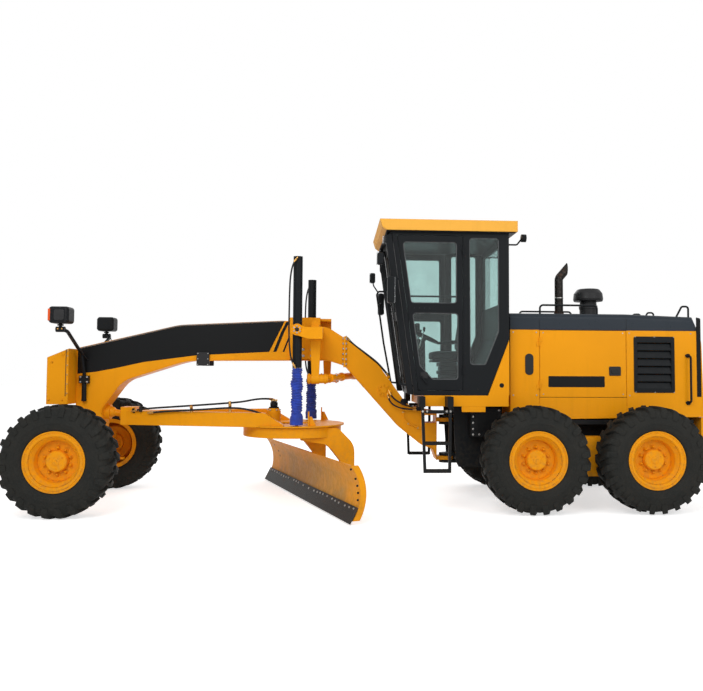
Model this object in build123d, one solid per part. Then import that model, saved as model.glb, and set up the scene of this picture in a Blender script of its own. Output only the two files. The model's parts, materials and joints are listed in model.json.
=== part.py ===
from build123d import *
from math import cos, radians, sin, sqrt
import os

# Motor grader with an articulated frame, tandem rear wheels and a mid-mounted blade.
# Millimetres. +X is forward, +Y is left, +Z is up.
# The origin is on the ground, under the middle of the machine's overall box.

# Wheels and stance
FRONT_AXLE_X = 3790
WHEELBASE = 6480            # front axle to the middle of the tandems
TANDEM_SPACING = 1480       # between the two rear wheels on one side
TRACK = 2155                # between tyre middles
TYRE_RADIUS = 665
TYRE_WIDTH = 445
LUGS = 24                   # on each shoulder of a tyre
LUG_HEIGHT = 30
LUG_WIDTH = 58
LUG_SWEEP = 25              # degrees off the axle's direction
RIM_SEAT_RADIUS = 318
RIM_FLANGE_RADIUS = 361
RIM_WIDTH = 380
RIM_WALL = 12
HUB_RADIUS = 132
SPINDLE_RADIUS = 55
FIT = 0.3                   # clearance of a turning or sliding fit
GAP = 8                     # clearance between pieces that swing past each other

# Front axle, leaning yokes and knuckles
AXLE_PIVOT_Z = 625
AXLE_PIN_RADIUS = 45
AXLE_DEPTH = 170            # along X
AXLE_HEIGHT = 150
LEAN_Y = 700
LEAN_Z = 620
LEAN_PIN_RADIUS = 30
LEAN_EAR_RADIUS = 68
YOKE_DEPTH = 104
KINGPIN_Y = 800
KINGPIN_RADIUS = 35
YOKE_HEIGHT = 300
KNUCKLE_EAR = 40
KNUCKLE_WALL = 50

# Rear axle and tandem cases
TANDEM_IN_Y = 640
TANDEM_OUT_Y = 830
TANDEM_END_RADIUS = 190
TANDEM_MID_RADIUS = 250
REAR_AXLE_RADIUS = 110
DIFFERENTIAL_RADIUS = 230

# Hitch between the front and rear frames
HITCH_X = -1010
HITCH_PIN_RADIUS = 45
HITCH_EAR_RADIUS = 100
HITCH_PLATE = 50            # front frame's hitch plates
HITCH_FORK = 32             # rear frame's fork plates
HITCH_TOP_Z = 1085          # middle of the upper joint
HITCH_LOW_Z = 565           # middle of the lower joint

# Front frame
BEAM_WIDTH = 320
NECK_WIDTH = 300
BEAM_JOINT_X = 400          # bolted joint between the beam and the gooseneck
COLUMN_REAR_X = FRONT_AXLE_X - 190
COLUMN_FRONT_X = FRONT_AXLE_X + 150
JOINT_TOP_Z = 2190
JOINT_LOW_Z = 1815
JOINT_FLANGE = 14           # thickness of each bolted flange, and how far it stands out
UNDER_FLANGE = 14           # the beam's lower plate stands out this far and is this thick
COLUMN_BOTTOM_Z = 900
NOSE_LENGTH = 270
NOSE_WIDTH = 900
NOSE_BOTTOM_Z = 1300
NOSE_HOLE_RADIUS = 13
NOSE_HOLE_DEPTH = 50
NOSE_HOLE_SPACING_Y = 600
NOSE_HOLE_SPACING_Z = 300
NOSE_HOLES_Z = 1640         # middle of the four holes
LAMP_X = FRONT_AXLE_X + 90
LAMP_Y = 890
LAMP_Z = 2410
LAMP_SIZE = (240, 240, 205)
LAMP_POST_RADIUS = 22

# Drawbar and circle
BALL_X = FRONT_AXLE_X - 270
BALL_Z = 1180
BALL_RADIUS = 70
CIRCLE_X = 1100
PLATE_RADIUS = 700
PLATE_TOP_Z = 1035
PLATE_THICKNESS = 20
DRAWBAR_HEIGHT = 185
DRAWBAR_WALL = 110
RING_RADIUS = 660
RING_INNER_RADIUS = 560
RING_HEIGHT = 130
RING_GAP = 7                # between the drawbar plate and the ring

# Blade
BLADE_YAW = 20.4            # degrees, left end to the rear
BLADE_LENGTH = 3660
BLADE_GROUND_GAP = 15
BLADE_HEIGHT = 660
BLADE_SAGITTA = 120
BLADE_WALL = 20
BLADE_SETBACK = 112         # cutting edge behind the circle's middle
BLADE_OFFSET = 45           # how far the blade stands shifted to its left end
EDGE_HEIGHT = 180
EDGE_WALL = 19
END_PLATE_DEPTH = 75
ARM_Y = 560
ARM_WALL = 60
TILT_X = -480
TILT_Z = 300
TILT_BOSS_RADIUS = 75
TILT_PIN_RADIUS = 35
RAIL_SIZE = 46
RAIL_GRIP = 30              # how far the guides reach over the rails
RAIL_LENGTH = 2560
GUIDE_Y = 450
GUIDE_LENGTH = 120

# Lift cylinders and their saddle
LIFT_X = 1015
LIFT_Y = 620
RIGHT_SETBACK = 145         # the right lift cylinder stands this far behind the left one
LIFT_BARREL_RADIUS = 60
LIFT_BARREL_LENGTH = 1440
LIFT_BARREL_BOTTOM_Z = 1780
LIFT_ROD_RADIUS = 28
LIFT_ROD_INSIDE = 620
LIFT_TRAVEL = 460           # each way from rest
LIFT_BALL_Z = 1090          # middle of the ball stud on the drawbar
LIFT_BALL_RADIUS = 28
LIFT_CUP_RADIUS = 78
LIFT_CUP_BORE = 66          # wide enough for the stud's drift as the drawbar pitches
LIFT_CUP_LOW_Z = 1068
LIFT_CUP_TOP_Z = 1142
TRUNNION_Z = 2270
FAR_BARREL_DROP = 150       # the right barrel sits this much lower in its yoke
BELLOWS_RADIUS = 78
YOKE_LENGTH = 325           # from the trunnion to the rear of the saddle's yoke
YOKE_WALL = 40
SHIFT_ARM_X = 230           # the hanging arm's middle behind the trunnion
SHIFT_PIN_Z = 1640
SHIFT_PIN_RADIUS = 58

# Rear frame, hood and cab
RAIL_Y = 360
FRAME_RAIL_WIDTH = 120
FRAME_RAIL_BOTTOM_Z = 790
FRAME_RAIL_HEIGHT = 200
BULKHEAD_X = -1180
BUMPER_DEPTH = 120
TOW_JAW_HEIGHT = 90
TOW_JAW_Z = 920
TOW_PIN_RADIUS = 22
TOW_PIN_INSET = 45          # behind the bumper's face
HOOD_FRONT_X = -1760
HOOD_REAR_X = -4240
HOOD_WIDTH = 1240
HOOD_TOP_Z = 2520
HOOD_BOTTOM_Z = 1120
HOOD_WALL = 30
HOOD_EDGE_RADIUS = 70
DOOR_GAP = 6
HINGE_RADIUS = 11
HINGE_PIN_RADIUS = 5
HINGE_LEAF = 60             # height of one barrel
HOOD_BEND_X = -3330         # behind this the hood's top falls
HOOD_FALL = 30
HOOD_BAND_Z = 2300          # lower edge of the dark band round the hood's top
SEAM_WIDTH = 5
SEAM_DEPTH = 4
ENGINE_DOOR_FRONT_X = -2150
ENGINE_DOOR_REAR_X = -3320
ENGINE_DOOR_BOTTOM_Z = 1412
ENGINE_DOOR_TOP_Z = HOOD_BAND_Z
ENGINE_DOOR_HINGES_Z = (ENGINE_DOOR_BOTTOM_Z + 110, ENGINE_DOOR_TOP_Z - 220)
SIDE_GRILLE_FRONT_X = -3430
SIDE_GRILLE_REAR_X = -3960
SIDE_GRILLE_BOTTOM_Z = 1490
SIDE_GRILLE_TOP_Z = 2210
LOUVRES = 6
GRILLE_FRAME = 34
HANDLE_X = -4150
HANDLE_LOW_Z = 1345
HANDLE_TOP_Z = 1970
EXHAUST_X = -2610
EXHAUST_RADIUS = 58
PRECLEANER_X = -3030
CAB_WIDTH = 1560
CAB_WALL = 50
CAB_FLOOR_Z = 1440
CAB_ROOF_Z = 3550
ROOF_THICKNESS = 140
ROOF_WIDTH = 1700
SILL_HEIGHT = 140
BELT_Z = CAB_FLOOR_Z + 0.53 * (CAB_ROOF_Z - CAB_FLOOR_Z)
STEERING_WHEEL_Z = CAB_FLOOR_Z + 780
LADDER_Y = 1010
STEPS_Z = (508, 850, 1240)
GLASS = 8

TANDEM_X = FRONT_AXLE_X - WHEELBASE
WHEEL_Y = TRACK / 2
REAR_END_X = -(FRONT_AXLE_X + TYRE_RADIUS)
PLATE_BOTTOM_Z = PLATE_TOP_Z - PLATE_THICKNESS
RING_TOP_Z = PLATE_BOTTOM_Z - RING_GAP
RING_BOTTOM_Z = RING_TOP_Z - RING_HEIGHT
SIDES = (("l", 1), ("r", -1))

# Rear and front wheels: name, x, side
WHEELS = (
    ("front_l", FRONT_AXLE_X, 1),
    ("front_r", FRONT_AXLE_X, -1),
    ("mid_l", TANDEM_X + TANDEM_SPACING / 2, 1),
    ("mid_r", TANDEM_X + TANDEM_SPACING / 2, -1),
    ("rear_l", TANDEM_X - TANDEM_SPACING / 2, 1),
    ("rear_r", TANDEM_X - TANDEM_SPACING / 2, -1),
)


def block(x0, x1, y0, y1, z0, z1):
    """A box between two corners."""
    return Pos((x0 + x1) / 2, (y0 + y1) / 2, (z0 + z1) / 2) * Box(x1 - x0, y1 - y0, z1 - z0)


def outline(points, radii=None):
    """A closed face in its own plane, its corners rounded when radii are given."""
    if radii is None:
        return make_face(Polyline(*points, close=True))
    return make_face(FilletPolyline(*points, radius=radii, close=True))


def side_plate(points, y0, y1, radii=None):
    """An X-Z outline, y0 to y1."""
    face = Plane.XZ * outline(points, radii)
    return Pos(0, y0, 0) * extrude(face, amount=y1 - y0, dir=(0, 1, 0))


def top_plate(points, z0, z1, radii=None):
    """An X-Y outline, z0 to z1."""
    return Pos(0, 0, z0) * extrude(outline(points, radii), amount=z1 - z0)


def front_plate(points, x0, x1, radii=None):
    """A Y-Z outline, x0 to x1."""
    face = Plane.YZ * outline(points, radii)
    return Pos(x0, 0, 0) * extrude(face, amount=x1 - x0, dir=(1, 0, 0))


def bar(start, end, radius):
    """A round bar between two points."""
    start, end = Vector(*start), Vector(*end)
    plane = Plane(origin=start, z_dir=end - start)
    return plane * Cylinder(radius, (end - start).length, align=(Align.CENTER, Align.CENTER, Align.MIN))


def pipe(points, radius, bend):
    """A round tube bent along points."""
    path = FilletPolyline(*points, radius=bend)
    return sweep(Plane(origin=path @ 0, z_dir=path % 0) * Circle(radius), path=path)


def turned(points, origin, axis, radii=None):
    """A profile of (radius, height) points turned about an axis through origin."""
    profile = Plane.XZ * outline(points, radii)
    return Plane(origin=origin, z_dir=axis) * revolve(profile, Axis.Z)


def disc(origin, axis, radius, length):
    """A cylinder whose middle is at origin."""
    return Plane(origin=origin, z_dir=axis) * Cylinder(radius, length)


def other_side(shape, side):
    """The left-hand shape, mirrored when side is -1."""
    return shape if side > 0 else mirror(shape, Plane.XZ)


def both_sides(shape):
    """A left-hand shape and its mirror image."""
    return shape + mirror(shape, Plane.XZ)


def hinge_pair(x, y, z, leaf, door_x, frame_x):
    """Barrels of one upright hinge on a left-hand wall: the frame's with its pin, and the door's."""
    base = y - HINGE_RADIUS
    barrels = []
    for toward, z0, z1 in ((frame_x, z, z + leaf), (door_x, z + leaf + 1, z + 2 * leaf + 1)):
        x0, x1 = sorted((toward, x))
        barrel = bar((x, y, z0), (x, y, z1), HINGE_RADIUS)
        barrels.append(barrel + block(x0, x1, base, base + 6, z0, z1))
    fixed, moving = barrels
    moving -= bar((x, y, z + leaf), (x, y, z + 2 * leaf + 2), HINGE_PIN_RADIUS + FIT)
    fixed += bar((x, y, z), (x, y, z + 2 * leaf), HINGE_PIN_RADIUS)
    return fixed, moving


# Wheels
def tyre():
    """A lugged tyre about the Y axis, its middle at the origin."""
    half = TYRE_WIDTH / 2
    shoulder = TYRE_RADIUS - LUG_HEIGHT
    bead = RIM_WIDTH / 2 - RIM_WALL
    upper = (
        (RIM_SEAT_RADIUS, bead),
        (RIM_FLANGE_RADIUS + 2, bead),
        (RIM_FLANGE_RADIUS + 24, half * 0.94),
        (RIM_FLANGE_RADIUS + 90, half),
        (shoulder - 100, half * 0.98),
        (shoulder - 30, half * 0.88),
        (shoulder, half * 0.68),
    )
    lower = tuple((r, -y) for r, y in reversed(upper))
    carcass = turned(upper + lower, (0, 0, 0), (0, 1, 0))
    pitch = 360 / LUGS
    left = tyre_lug()
    right = Rot(0, pitch / 2, 0) * mirror(left, Plane.XZ)
    return carcass + [Rot(0, i * pitch, 0) * lug for i in range(LUGS) for lug in (left, right)]


def tyre_lug():
    """One lug at the top of the tyre, swept back and running down over the left shoulder."""
    half = TYRE_WIDTH / 2
    middle = half / 2
    sweep = radians(LUG_SWEEP)
    corner = (middle - 8) * sin(sweep) + LUG_WIDTH / 2 * cos(sweep)
    top = sqrt(TYRE_RADIUS ** 2 - corner ** 2)
    floor = TYRE_RADIUS - LUG_HEIGHT - 10
    # Across the tyre: y, radius
    points = ((8, floor), (8, top), (half * 0.72, top), (half * 0.93, top - 28), (half, top - 80),
              (half * 0.94, top - 104), (half * 0.6, floor - 30))
    lug = front_plate(points, -LUG_WIDTH / 2, LUG_WIDTH / 2)
    return Pos(0, middle, 0) * Rot(0, 0, LUG_SWEEP) * Pos(0, -middle, 0) * lug


def rim():
    """A rim with lock rings, a deep dish and a capped hub; +Y is outboard."""
    edge = RIM_WIDTH / 2
    seat, inside = RIM_SEAT_RADIUS, RIM_SEAT_RADIUS - RIM_WALL
    flange = RIM_FLANGE_RADIUS
    bore = SPINDLE_RADIUS + FIT
    mouth = inside - 44
    # Radius, y: the hub's bore and back, the dish's back, the barrel, then the outer face inwards
    points = (
        (0, 90),
        (bore, 90),
        (bore, -60),
        (HUB_RADIUS, -60),
        (HUB_RADIUS, 20),
        (mouth - 28, 20),
        (mouth - 12, 126),
        (inside - 20, edge - 18),
        (inside, edge - 18),
        (inside, -edge),
        (flange, -edge),
        (flange, -edge + RIM_WALL),
        (seat, -edge + RIM_WALL),
        (seat, edge - RIM_WALL),
        (flange, edge - RIM_WALL),
        (flange, edge),
        (flange - 15, edge),
        (flange - 19, edge - 6),
        (flange - 27, edge - 6),
        (flange - 31, edge - 1),
        (inside - 4, edge - 5),
        (mouth, 132),
        (mouth - 16, 42),
        (HUB_RADIUS, 42),
        (HUB_RADIUS - 8, 104),
        (HUB_RADIUS - 20, 116),
        (14, 116),
        (10, 108),
        (0, 108),
    )
    return turned(points, (0, 0, 0), (0, 1, 0))


def spindle(x, z, y_from):
    """A stub shaft with its flange, on the left side."""
    flange_end = WHEEL_Y - 60 - GAP
    shaft_end = WHEEL_Y + 90 - GAP
    return bar((x, y_from, z), (x, flange_end, z), SPINDLE_RADIUS + 35) + bar(
        (x, y_from, z), (x, shaft_end, z), SPINDLE_RADIUS
    )


# Front axle
def front_axle():
    half_depth = AXLE_DEPTH / 2
    top, low = AXLE_PIVOT_Z + AXLE_HEIGHT / 2, AXLE_PIVOT_Z - AXLE_HEIGHT / 2
    end = LEAN_Y - LEAN_EAR_RADIUS - GAP
    points = (
        (-end, top - 10), (-200, top), (200, top), (end, top - 10),
        (end, low + 10), (280, low - 10), (-280, low - 10), (-end, low + 10),
    )
    x0, x1 = FRONT_AXLE_X - half_depth, FRONT_AXLE_X + half_depth
    shape = front_plate(points, x0, x1)
    shape += disc((FRONT_AXLE_X, 0, AXLE_PIVOT_Z), (1, 0, 0), AXLE_HEIGHT * 0.62, AXLE_DEPTH)
    ear_wall = half_depth - YOKE_DEPTH / 2 - GAP
    for x in (x0, x1 - ear_wall):
        ear = front_plate(
            ((end - 90, top - 10), (LEAN_Y, LEAN_Z + LEAN_EAR_RADIUS),
             (LEAN_Y, LEAN_Z - LEAN_EAR_RADIUS), (end - 90, low + 10)), x, x + ear_wall)
        ear += bar((x, LEAN_Y, LEAN_Z), (x + ear_wall, LEAN_Y, LEAN_Z), LEAN_EAR_RADIUS)
        shape += both_sides(ear)
    pin = bar((x0, LEAN_Y, LEAN_Z), (x1, LEAN_Y, LEAN_Z), LEAN_PIN_RADIUS)
    shape += both_sides(pin)
    return shape - disc((FRONT_AXLE_X, 0, AXLE_PIVOT_Z), (1, 0, 0), AXLE_PIN_RADIUS + FIT, 2 * AXLE_DEPTH)


def lean_yoke():
    """The left yoke: it leans about its lower inner pin and carries the kingpin."""
    x0, x1 = FRONT_AXLE_X - YOKE_DEPTH / 2, FRONT_AXLE_X + YOKE_DEPTH / 2
    mid_z = AXLE_PIVOT_Z + 25
    low, top = mid_z - YOKE_HEIGHT / 2, mid_z + YOKE_HEIGHT / 2
    post_in, post_out = KINGPIN_Y - 52, KINGPIN_Y + 52
    shape = front_plate(
        ((LEAN_Y, LEAN_Z + 62), (post_in, top), (post_out, top), (post_out, low),
         (post_in, low), (LEAN_Y, LEAN_Z - 62)), x0, x1)
    shape += bar((x0, LEAN_Y, LEAN_Z), (x1, LEAN_Y, LEAN_Z), LEAN_EAR_RADIUS - 4)
    shape -= disc((FRONT_AXLE_X, LEAN_Y, LEAN_Z), (1, 0, 0), LEAN_PIN_RADIUS + FIT, 2 * YOKE_DEPTH)
    return shape - disc((FRONT_AXLE_X, KINGPIN_Y, mid_z), (0, 0, 1), KINGPIN_RADIUS + FIT, 2 * YOKE_HEIGHT)


def knuckle():
    """The left steering knuckle, with its kingpin and wheel spindle."""
    mid_z = AXLE_PIVOT_Z + 25
    half = YOKE_HEIGHT / 2 + GAP
    web_in = KINGPIN_Y + 105
    web_out = web_in + KNUCKLE_WALL
    top, low = mid_z + half + KNUCKLE_EAR, mid_z - half - KNUCKLE_EAR
    shape = block(FRONT_AXLE_X - 55, FRONT_AXLE_X + 55, web_in, web_out, low, top)
    for z in (mid_z + half, low):
        shape += block(FRONT_AXLE_X - 55, FRONT_AXLE_X + 55, KINGPIN_Y, web_in, z, z + KNUCKLE_EAR)
        shape += bar((FRONT_AXLE_X, KINGPIN_Y, z), (FRONT_AXLE_X, KINGPIN_Y, z + KNUCKLE_EAR), 55)
    shape += bar((FRONT_AXLE_X, KINGPIN_Y, low), (FRONT_AXLE_X, KINGPIN_Y, top), KINGPIN_RADIUS)
    shape += top_plate(
        ((FRONT_AXLE_X - 230, KINGPIN_Y - 60), (FRONT_AXLE_X - 20, KINGPIN_Y - 45),
         (FRONT_AXLE_X - 20, KINGPIN_Y + 45), (FRONT_AXLE_X - 230, KINGPIN_Y + 5)),
        low, low + KNUCKLE_EAR * 0.8)
    return shape + spindle(FRONT_AXLE_X, TYRE_RADIUS, web_in)


# Rear axle and tandems
def rear_axle():
    z = TYRE_RADIUS
    end = TANDEM_IN_Y + 60
    shape = bar((TANDEM_X, -end, z), (TANDEM_X, end, z), REAR_AXLE_RADIUS)
    shape += disc((TANDEM_X, 0, z), (0, 1, 0), DIFFERENTIAL_RADIUS, 320)
    shape += disc((TANDEM_X, 0, z), (0, 1, 0), DIFFERENTIAL_RADIUS * 0.7, 560)
    pad = block(TANDEM_X - 130, TANDEM_X + 130, RAIL_Y - 60, RAIL_Y + 60, z, FRAME_RAIL_BOTTOM_Z)
    shape += both_sides(pad)
    flange = disc((TANDEM_X, TANDEM_IN_Y - 60 - GAP, z), (0, 1, 0), REAR_AXLE_RADIUS + 50, 40)
    return shape + both_sides(flange)


def tandem():
    """The left chain case: it rocks on the rear axle and carries two wheels."""
    z = TYRE_RADIUS
    front, rear = TANDEM_X + TANDEM_SPACING / 2, TANDEM_X - TANDEM_SPACING / 2
    low_r, mid_r = TANDEM_END_RADIUS, TANDEM_MID_RADIUS
    points = (
        (front, z + low_r), (TANDEM_X + 220, z + mid_r), (TANDEM_X - 220, z + mid_r), (rear, z + low_r),
        (rear, z - low_r), (TANDEM_X - 220, z - mid_r), (TANDEM_X + 220, z - mid_r), (front, z - low_r),
    )
    shape = side_plate(points, TANDEM_IN_Y, TANDEM_OUT_Y)
    for x in (front, rear):
        shape += bar((x, TANDEM_IN_Y, z), (x, TANDEM_OUT_Y, z), low_r)
        shape += spindle(x, z, TANDEM_OUT_Y)
    shape += bar((TANDEM_X, TANDEM_IN_Y - 40, z), (TANDEM_X, TANDEM_IN_Y, z), REAR_AXLE_RADIUS + 60)
    bore = bar((TANDEM_X, TANDEM_IN_Y - 60, z), (TANDEM_X, TANDEM_IN_Y + 60 + FIT, z),
               REAR_AXLE_RADIUS + FIT)
    return shape - bore


# Front frame
# Side outlines: x, z, corner radius
BEAM_OUTLINE = (
    (COLUMN_FRONT_X, COLUMN_BOTTOM_Z, 0),
    (COLUMN_FRONT_X, 2030, 60),
    (FRONT_AXLE_X - 1180, 2350, 900),
    (1200, 2422, 900),
    (620, 2330, 300),
    (BEAM_JOINT_X, JOINT_TOP_Z, 0),
    (BEAM_JOINT_X, JOINT_LOW_Z, 0),
    (620, 1885, 250),
    (FRONT_AXLE_X - 1290, 1870, 900),
    (FRONT_AXLE_X - 460, 1600, 330),
    (COLUMN_REAR_X, 1230, 200),
    (COLUMN_REAR_X, COLUMN_BOTTOM_Z, 0),
)
TAIL_X = -860
NECK_OUTLINE = (
    (BEAM_JOINT_X, JOINT_TOP_Z, 0),
    (-60, 1830, 300),
    (-470, 1270, 260),
    (TAIL_X, HITCH_TOP_Z + 115, 0),
    (TAIL_X, HITCH_LOW_Z - HITCH_PLATE / 2, 0),
    (-800, 700, 60),
    (-650, 745, 300),
    (-330, 1000, 400),
    (BEAM_JOINT_X, JOINT_LOW_Z, 0),
)


def hitch_ear(x_root, z_mid, thickness):
    """A rounded horizontal plate round the hitch pin, reaching to x_root."""
    z0, z1 = z_mid - thickness / 2, z_mid + thickness / 2
    y = HITCH_EAR_RADIUS
    x0, x1 = sorted((HITCH_X, x_root))
    shape = block(x0, x1, -y, y, z0, z1)
    return shape + bar((HITCH_X, 0, z0), (HITCH_X, 0, z1), y)


def front_frame():
    beam = [(x, z) for x, z, r in BEAM_OUTLINE]
    beam_radii = [r for x, z, r in BEAM_OUTLINE]
    neck = [(x, z) for x, z, r in NECK_OUTLINE]
    neck_radii = [r for x, z, r in NECK_OUTLINE]
    shape = under_flanged(beam, BEAM_WIDTH / 2, beam_radii)
    shape += under_flanged(neck, NECK_WIDTH / 2, neck_radii)
    flange_y = BEAM_WIDTH / 2 + JOINT_FLANGE + UNDER_FLANGE
    for x in (BEAM_JOINT_X, BEAM_JOINT_X - JOINT_FLANGE):
        shape += block(x, x + JOINT_FLANGE, -flange_y, flange_y, JOINT_LOW_Z - 20, JOINT_TOP_Z + 20)
    shape -= side_plate(NECK_WINDOW, -NECK_WIDTH, NECK_WIDTH, 18)
    for z in (HITCH_TOP_Z, HITCH_LOW_Z):
        shape += hitch_ear(TAIL_X, z, HITCH_PLATE)
    shape -= disc((HITCH_X, 0, HITCH_TOP_Z), (0, 0, 1), HITCH_PIN_RADIUS + FIT, 2000)
    plate_depth = (COLUMN_FRONT_X + 40 - (FRONT_AXLE_X + AXLE_DEPTH / 2 + 15))
    for x0, x1 in (
        (COLUMN_REAR_X, FRONT_AXLE_X - AXLE_DEPTH / 2 - 15),
        (COLUMN_FRONT_X + 40 - plate_depth, COLUMN_FRONT_X + 40),
    ):
        shape += block(x0, x1, -110, 110, AXLE_PIVOT_Z, COLUMN_BOTTOM_Z + 60)
        shape += bar((x0, 0, AXLE_PIVOT_Z), (x1, 0, AXLE_PIVOT_Z), 110)
    shape += bar((COLUMN_REAR_X, 0, AXLE_PIVOT_Z), (COLUMN_FRONT_X + 60, 0, AXLE_PIVOT_Z), AXLE_PIN_RADIUS)
    return shape + ball_socket()


NECK_WINDOW = ((-845, 1045), (-845, 1150), (-690, 1150), (-690, 1045))


def under_flanged(points, half, radii):
    """A box beam with this side outline, whose lower plate stands out a little on both sides."""
    wide = side_plate(points, -half - UNDER_FLANGE, half + UNDER_FLANGE, radii)
    lower_plate = wide - Pos(0, 0, UNDER_FLANGE) * wide
    return side_plate(points, -half, half, radii) + lower_plate


def ball_socket():
    """A cup on the column's rear face, round the front half of the drawbar's ball."""
    bore = BALL_RADIUS + FIT
    outer = BALL_RADIUS + 30
    mouth = 8
    mouth_radius = sqrt(bore ** 2 - mouth ** 2)
    back = COLUMN_REAR_X - BALL_X + 20
    arc = ThreePointArc((0, bore), (bore * sin(radians(45)), bore * cos(radians(45))), (mouth_radius, mouth))
    edges = arc + Polyline((mouth_radius, mouth), (outer, mouth), (outer, back), (0, back), (0, bore))
    face = Plane.XZ * make_face(edges)
    return Plane(origin=(BALL_X, 0, BALL_Z), z_dir=(1, 0, 0)) * revolve(face, Axis.Z)


def nose_block():
    x0, x1 = COLUMN_FRONT_X, COLUMN_FRONT_X + NOSE_LENGTH
    points = ((x0, NOSE_BOTTOM_Z), (x1, NOSE_BOTTOM_Z), (x1, 1900), (x0, 2015))
    shape = side_plate(points, -NOSE_WIDTH / 2, NOSE_WIDTH / 2)
    for y in (-NOSE_HOLE_SPACING_Y / 2, NOSE_HOLE_SPACING_Y / 2):
        for z in (NOSE_HOLES_Z - NOSE_HOLE_SPACING_Z / 2, NOSE_HOLES_Z + NOSE_HOLE_SPACING_Z / 2):
            shape -= bar((x1 - NOSE_HOLE_DEPTH, y, z), (x1 + 5, y, z), NOSE_HOLE_RADIUS)
    return shape


def headlamps():
    """Two rounded lamps on swivels, at the tops of bent posts that are clamped to the frame's sides."""
    side = BEAM_WIDTH / 2 + 34
    length, width, height = LAMP_SIZE
    head = Pos(LAMP_X, LAMP_Y, LAMP_Z) * fillet(Box(length, width, height).edges(), 38)
    neck_z = LAMP_Z - height / 2
    swivel_z = neck_z - 70
    neck = bar((LAMP_X + 10, LAMP_Y, swivel_z), (LAMP_X + 10, LAMP_Y, neck_z + 10), 20)
    neck += bar((LAMP_X + 10, LAMP_Y, neck_z - 26), (LAMP_X + 10, LAMP_Y, neck_z - 8), 36)
    swivel = bar((LAMP_X - 45, LAMP_Y, swivel_z), (LAMP_X + 60, LAMP_Y, swivel_z), 34)
    post_x = LAMP_X - 55
    post = pipe(((LAMP_X, LAMP_Y, swivel_z), (post_x, LAMP_Y - 50, swivel_z - 20),
                 (post_x + 20, side + 60, 1950), (post_x, side, 1660), (post_x, side, 1330)),
                LAMP_POST_RADIUS, 60)
    foot = bar((post_x, side, 1330), (post_x, side, 1560), LAMP_POST_RADIUS + 8)
    clamp = block(post_x - 62, post_x + 62, BEAM_WIDTH / 2, side + 30, 1565, 1665)
    return both_sides(head + neck + swivel + post + foot + clamp)


def lift_x(side):
    """Where the lift cylinder on that side stands."""
    return LIFT_X if side > 0 else LIFT_X - RIGHT_SETBACK


def both_lifts(left):
    """A piece of the left lift's mounting and its mirror image at the right lift."""
    return left + Pos(-RIGHT_SETBACK, 0, 0) * mirror(left, Plane.XZ)


def saddle():
    """The clamp round the beam, with a cast yoke on each side for the lift cylinders."""
    half = BEAM_WIDTH / 2
    rear = LIFT_X - YOKE_LENGTH
    body = block(LIFT_X - 285, LIFT_X + 130, half, half + 60, 1900, 2460)
    body += block(LIFT_X - 285, LIFT_X + 130, 0, half + 60, 2425, 2460)
    low, top = TRUNNION_Z - 118, TRUNNION_Z + 35
    body += block(rear, rear + 110, half + 60, LIFT_Y + LIFT_BARREL_RADIUS + 10 + YOKE_WALL, low, top)
    body += bar((rear + 100, half, top + 42), (rear + 100, 480, top + 42), 52)
    body += block(rear + 48, rear + 152, half + 60, 480, low + 40, top + 42)
    # Cheek outline: x from the trunnion, z from the trunnion
    cheek = ((0, 72), (-110, 33), (-YOKE_LENGTH, 38), (-YOKE_LENGTH, -118), (-140, -118), (0, -72))
    points = [(LIFT_X + x, TRUNNION_Z + z) for x, z in cheek]
    for y in (LIFT_Y - LIFT_BARREL_RADIUS - 10 - YOKE_WALL, LIFT_Y + LIFT_BARREL_RADIUS + 10):
        body += side_plate(points, y, y + YOKE_WALL, (0, 60, 20, 20, 50, 0))
        body += bar((LIFT_X, y, TRUNNION_Z), (LIFT_X, y + YOKE_WALL, TRUNNION_Z), 75)
    outer = LIFT_Y + LIFT_BARREL_RADIUS + 10 + YOKE_WALL
    body += bar((LIFT_X, outer, TRUNNION_Z), (LIFT_X, outer + 12, TRUNNION_Z), 56)
    body -= bar((LIFT_X, 0, TRUNNION_Z), (LIFT_X, outer - 2, TRUNNION_Z), 30 + FIT)
    return both_lifts(body)


def shift_linkage():
    """Two tapered arms under the saddle's yokes, joined by a link across."""
    x, pin_z = LIFT_X - SHIFT_ARM_X, SHIFT_PIN_Z
    top = TRUNNION_Z - 118
    arm = side_plate(((x - 70, top), (x + 70, top), (x + 46, pin_z), (x - 46, pin_z)), 400, 500)
    start, end = x - 165, x + 108
    arm += bar((start, 450, pin_z), (end, 450, pin_z), SHIFT_PIN_RADIUS)
    for x0, x1 in ((start + 22, start + 48), (x - 52, x + 52), (end - 40, end - 14)):
        arm += bar((x0, 450, pin_z), (x1, 450, pin_z), SHIFT_PIN_RADIUS + 10)
    link = top_plate(
        ((x - 40, 450), (x + 40, 450), (x + 40 - RIGHT_SETBACK, -450), (x - 40 - RIGHT_SETBACK, -450)),
        pin_z - 25, pin_z + 25)
    return both_lifts(arm) + link


SHIFT_ROD_END = (LIFT_X - 330, 450, SHIFT_PIN_Z)
SHIFT_BARREL_END = (230, -420, 1685)


def shift_cylinder():
    """The side shift cylinder, from the linkage's left arm to a bracket on the neck."""
    start, end = Vector(*SHIFT_ROD_END), Vector(*SHIFT_BARREL_END)
    along = (end - start).normalized()
    shape = bar(start + along * 92, start + along * 300, 28)
    shape += bar(start + along * 190, end, 46)
    for at in (190, 520):
        shape += bar(start + along * at, start + along * (at + 26), 58)
    shape += bar(end - Vector(0, 0, 60), end + Vector(0, 0, 60), 62)
    x, y, z = SHIFT_BARREL_END
    bracket = block(x - 50, x + 50, y - 30, -NECK_WIDTH / 2, z + 15, z + 75)
    return shape + bracket


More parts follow.
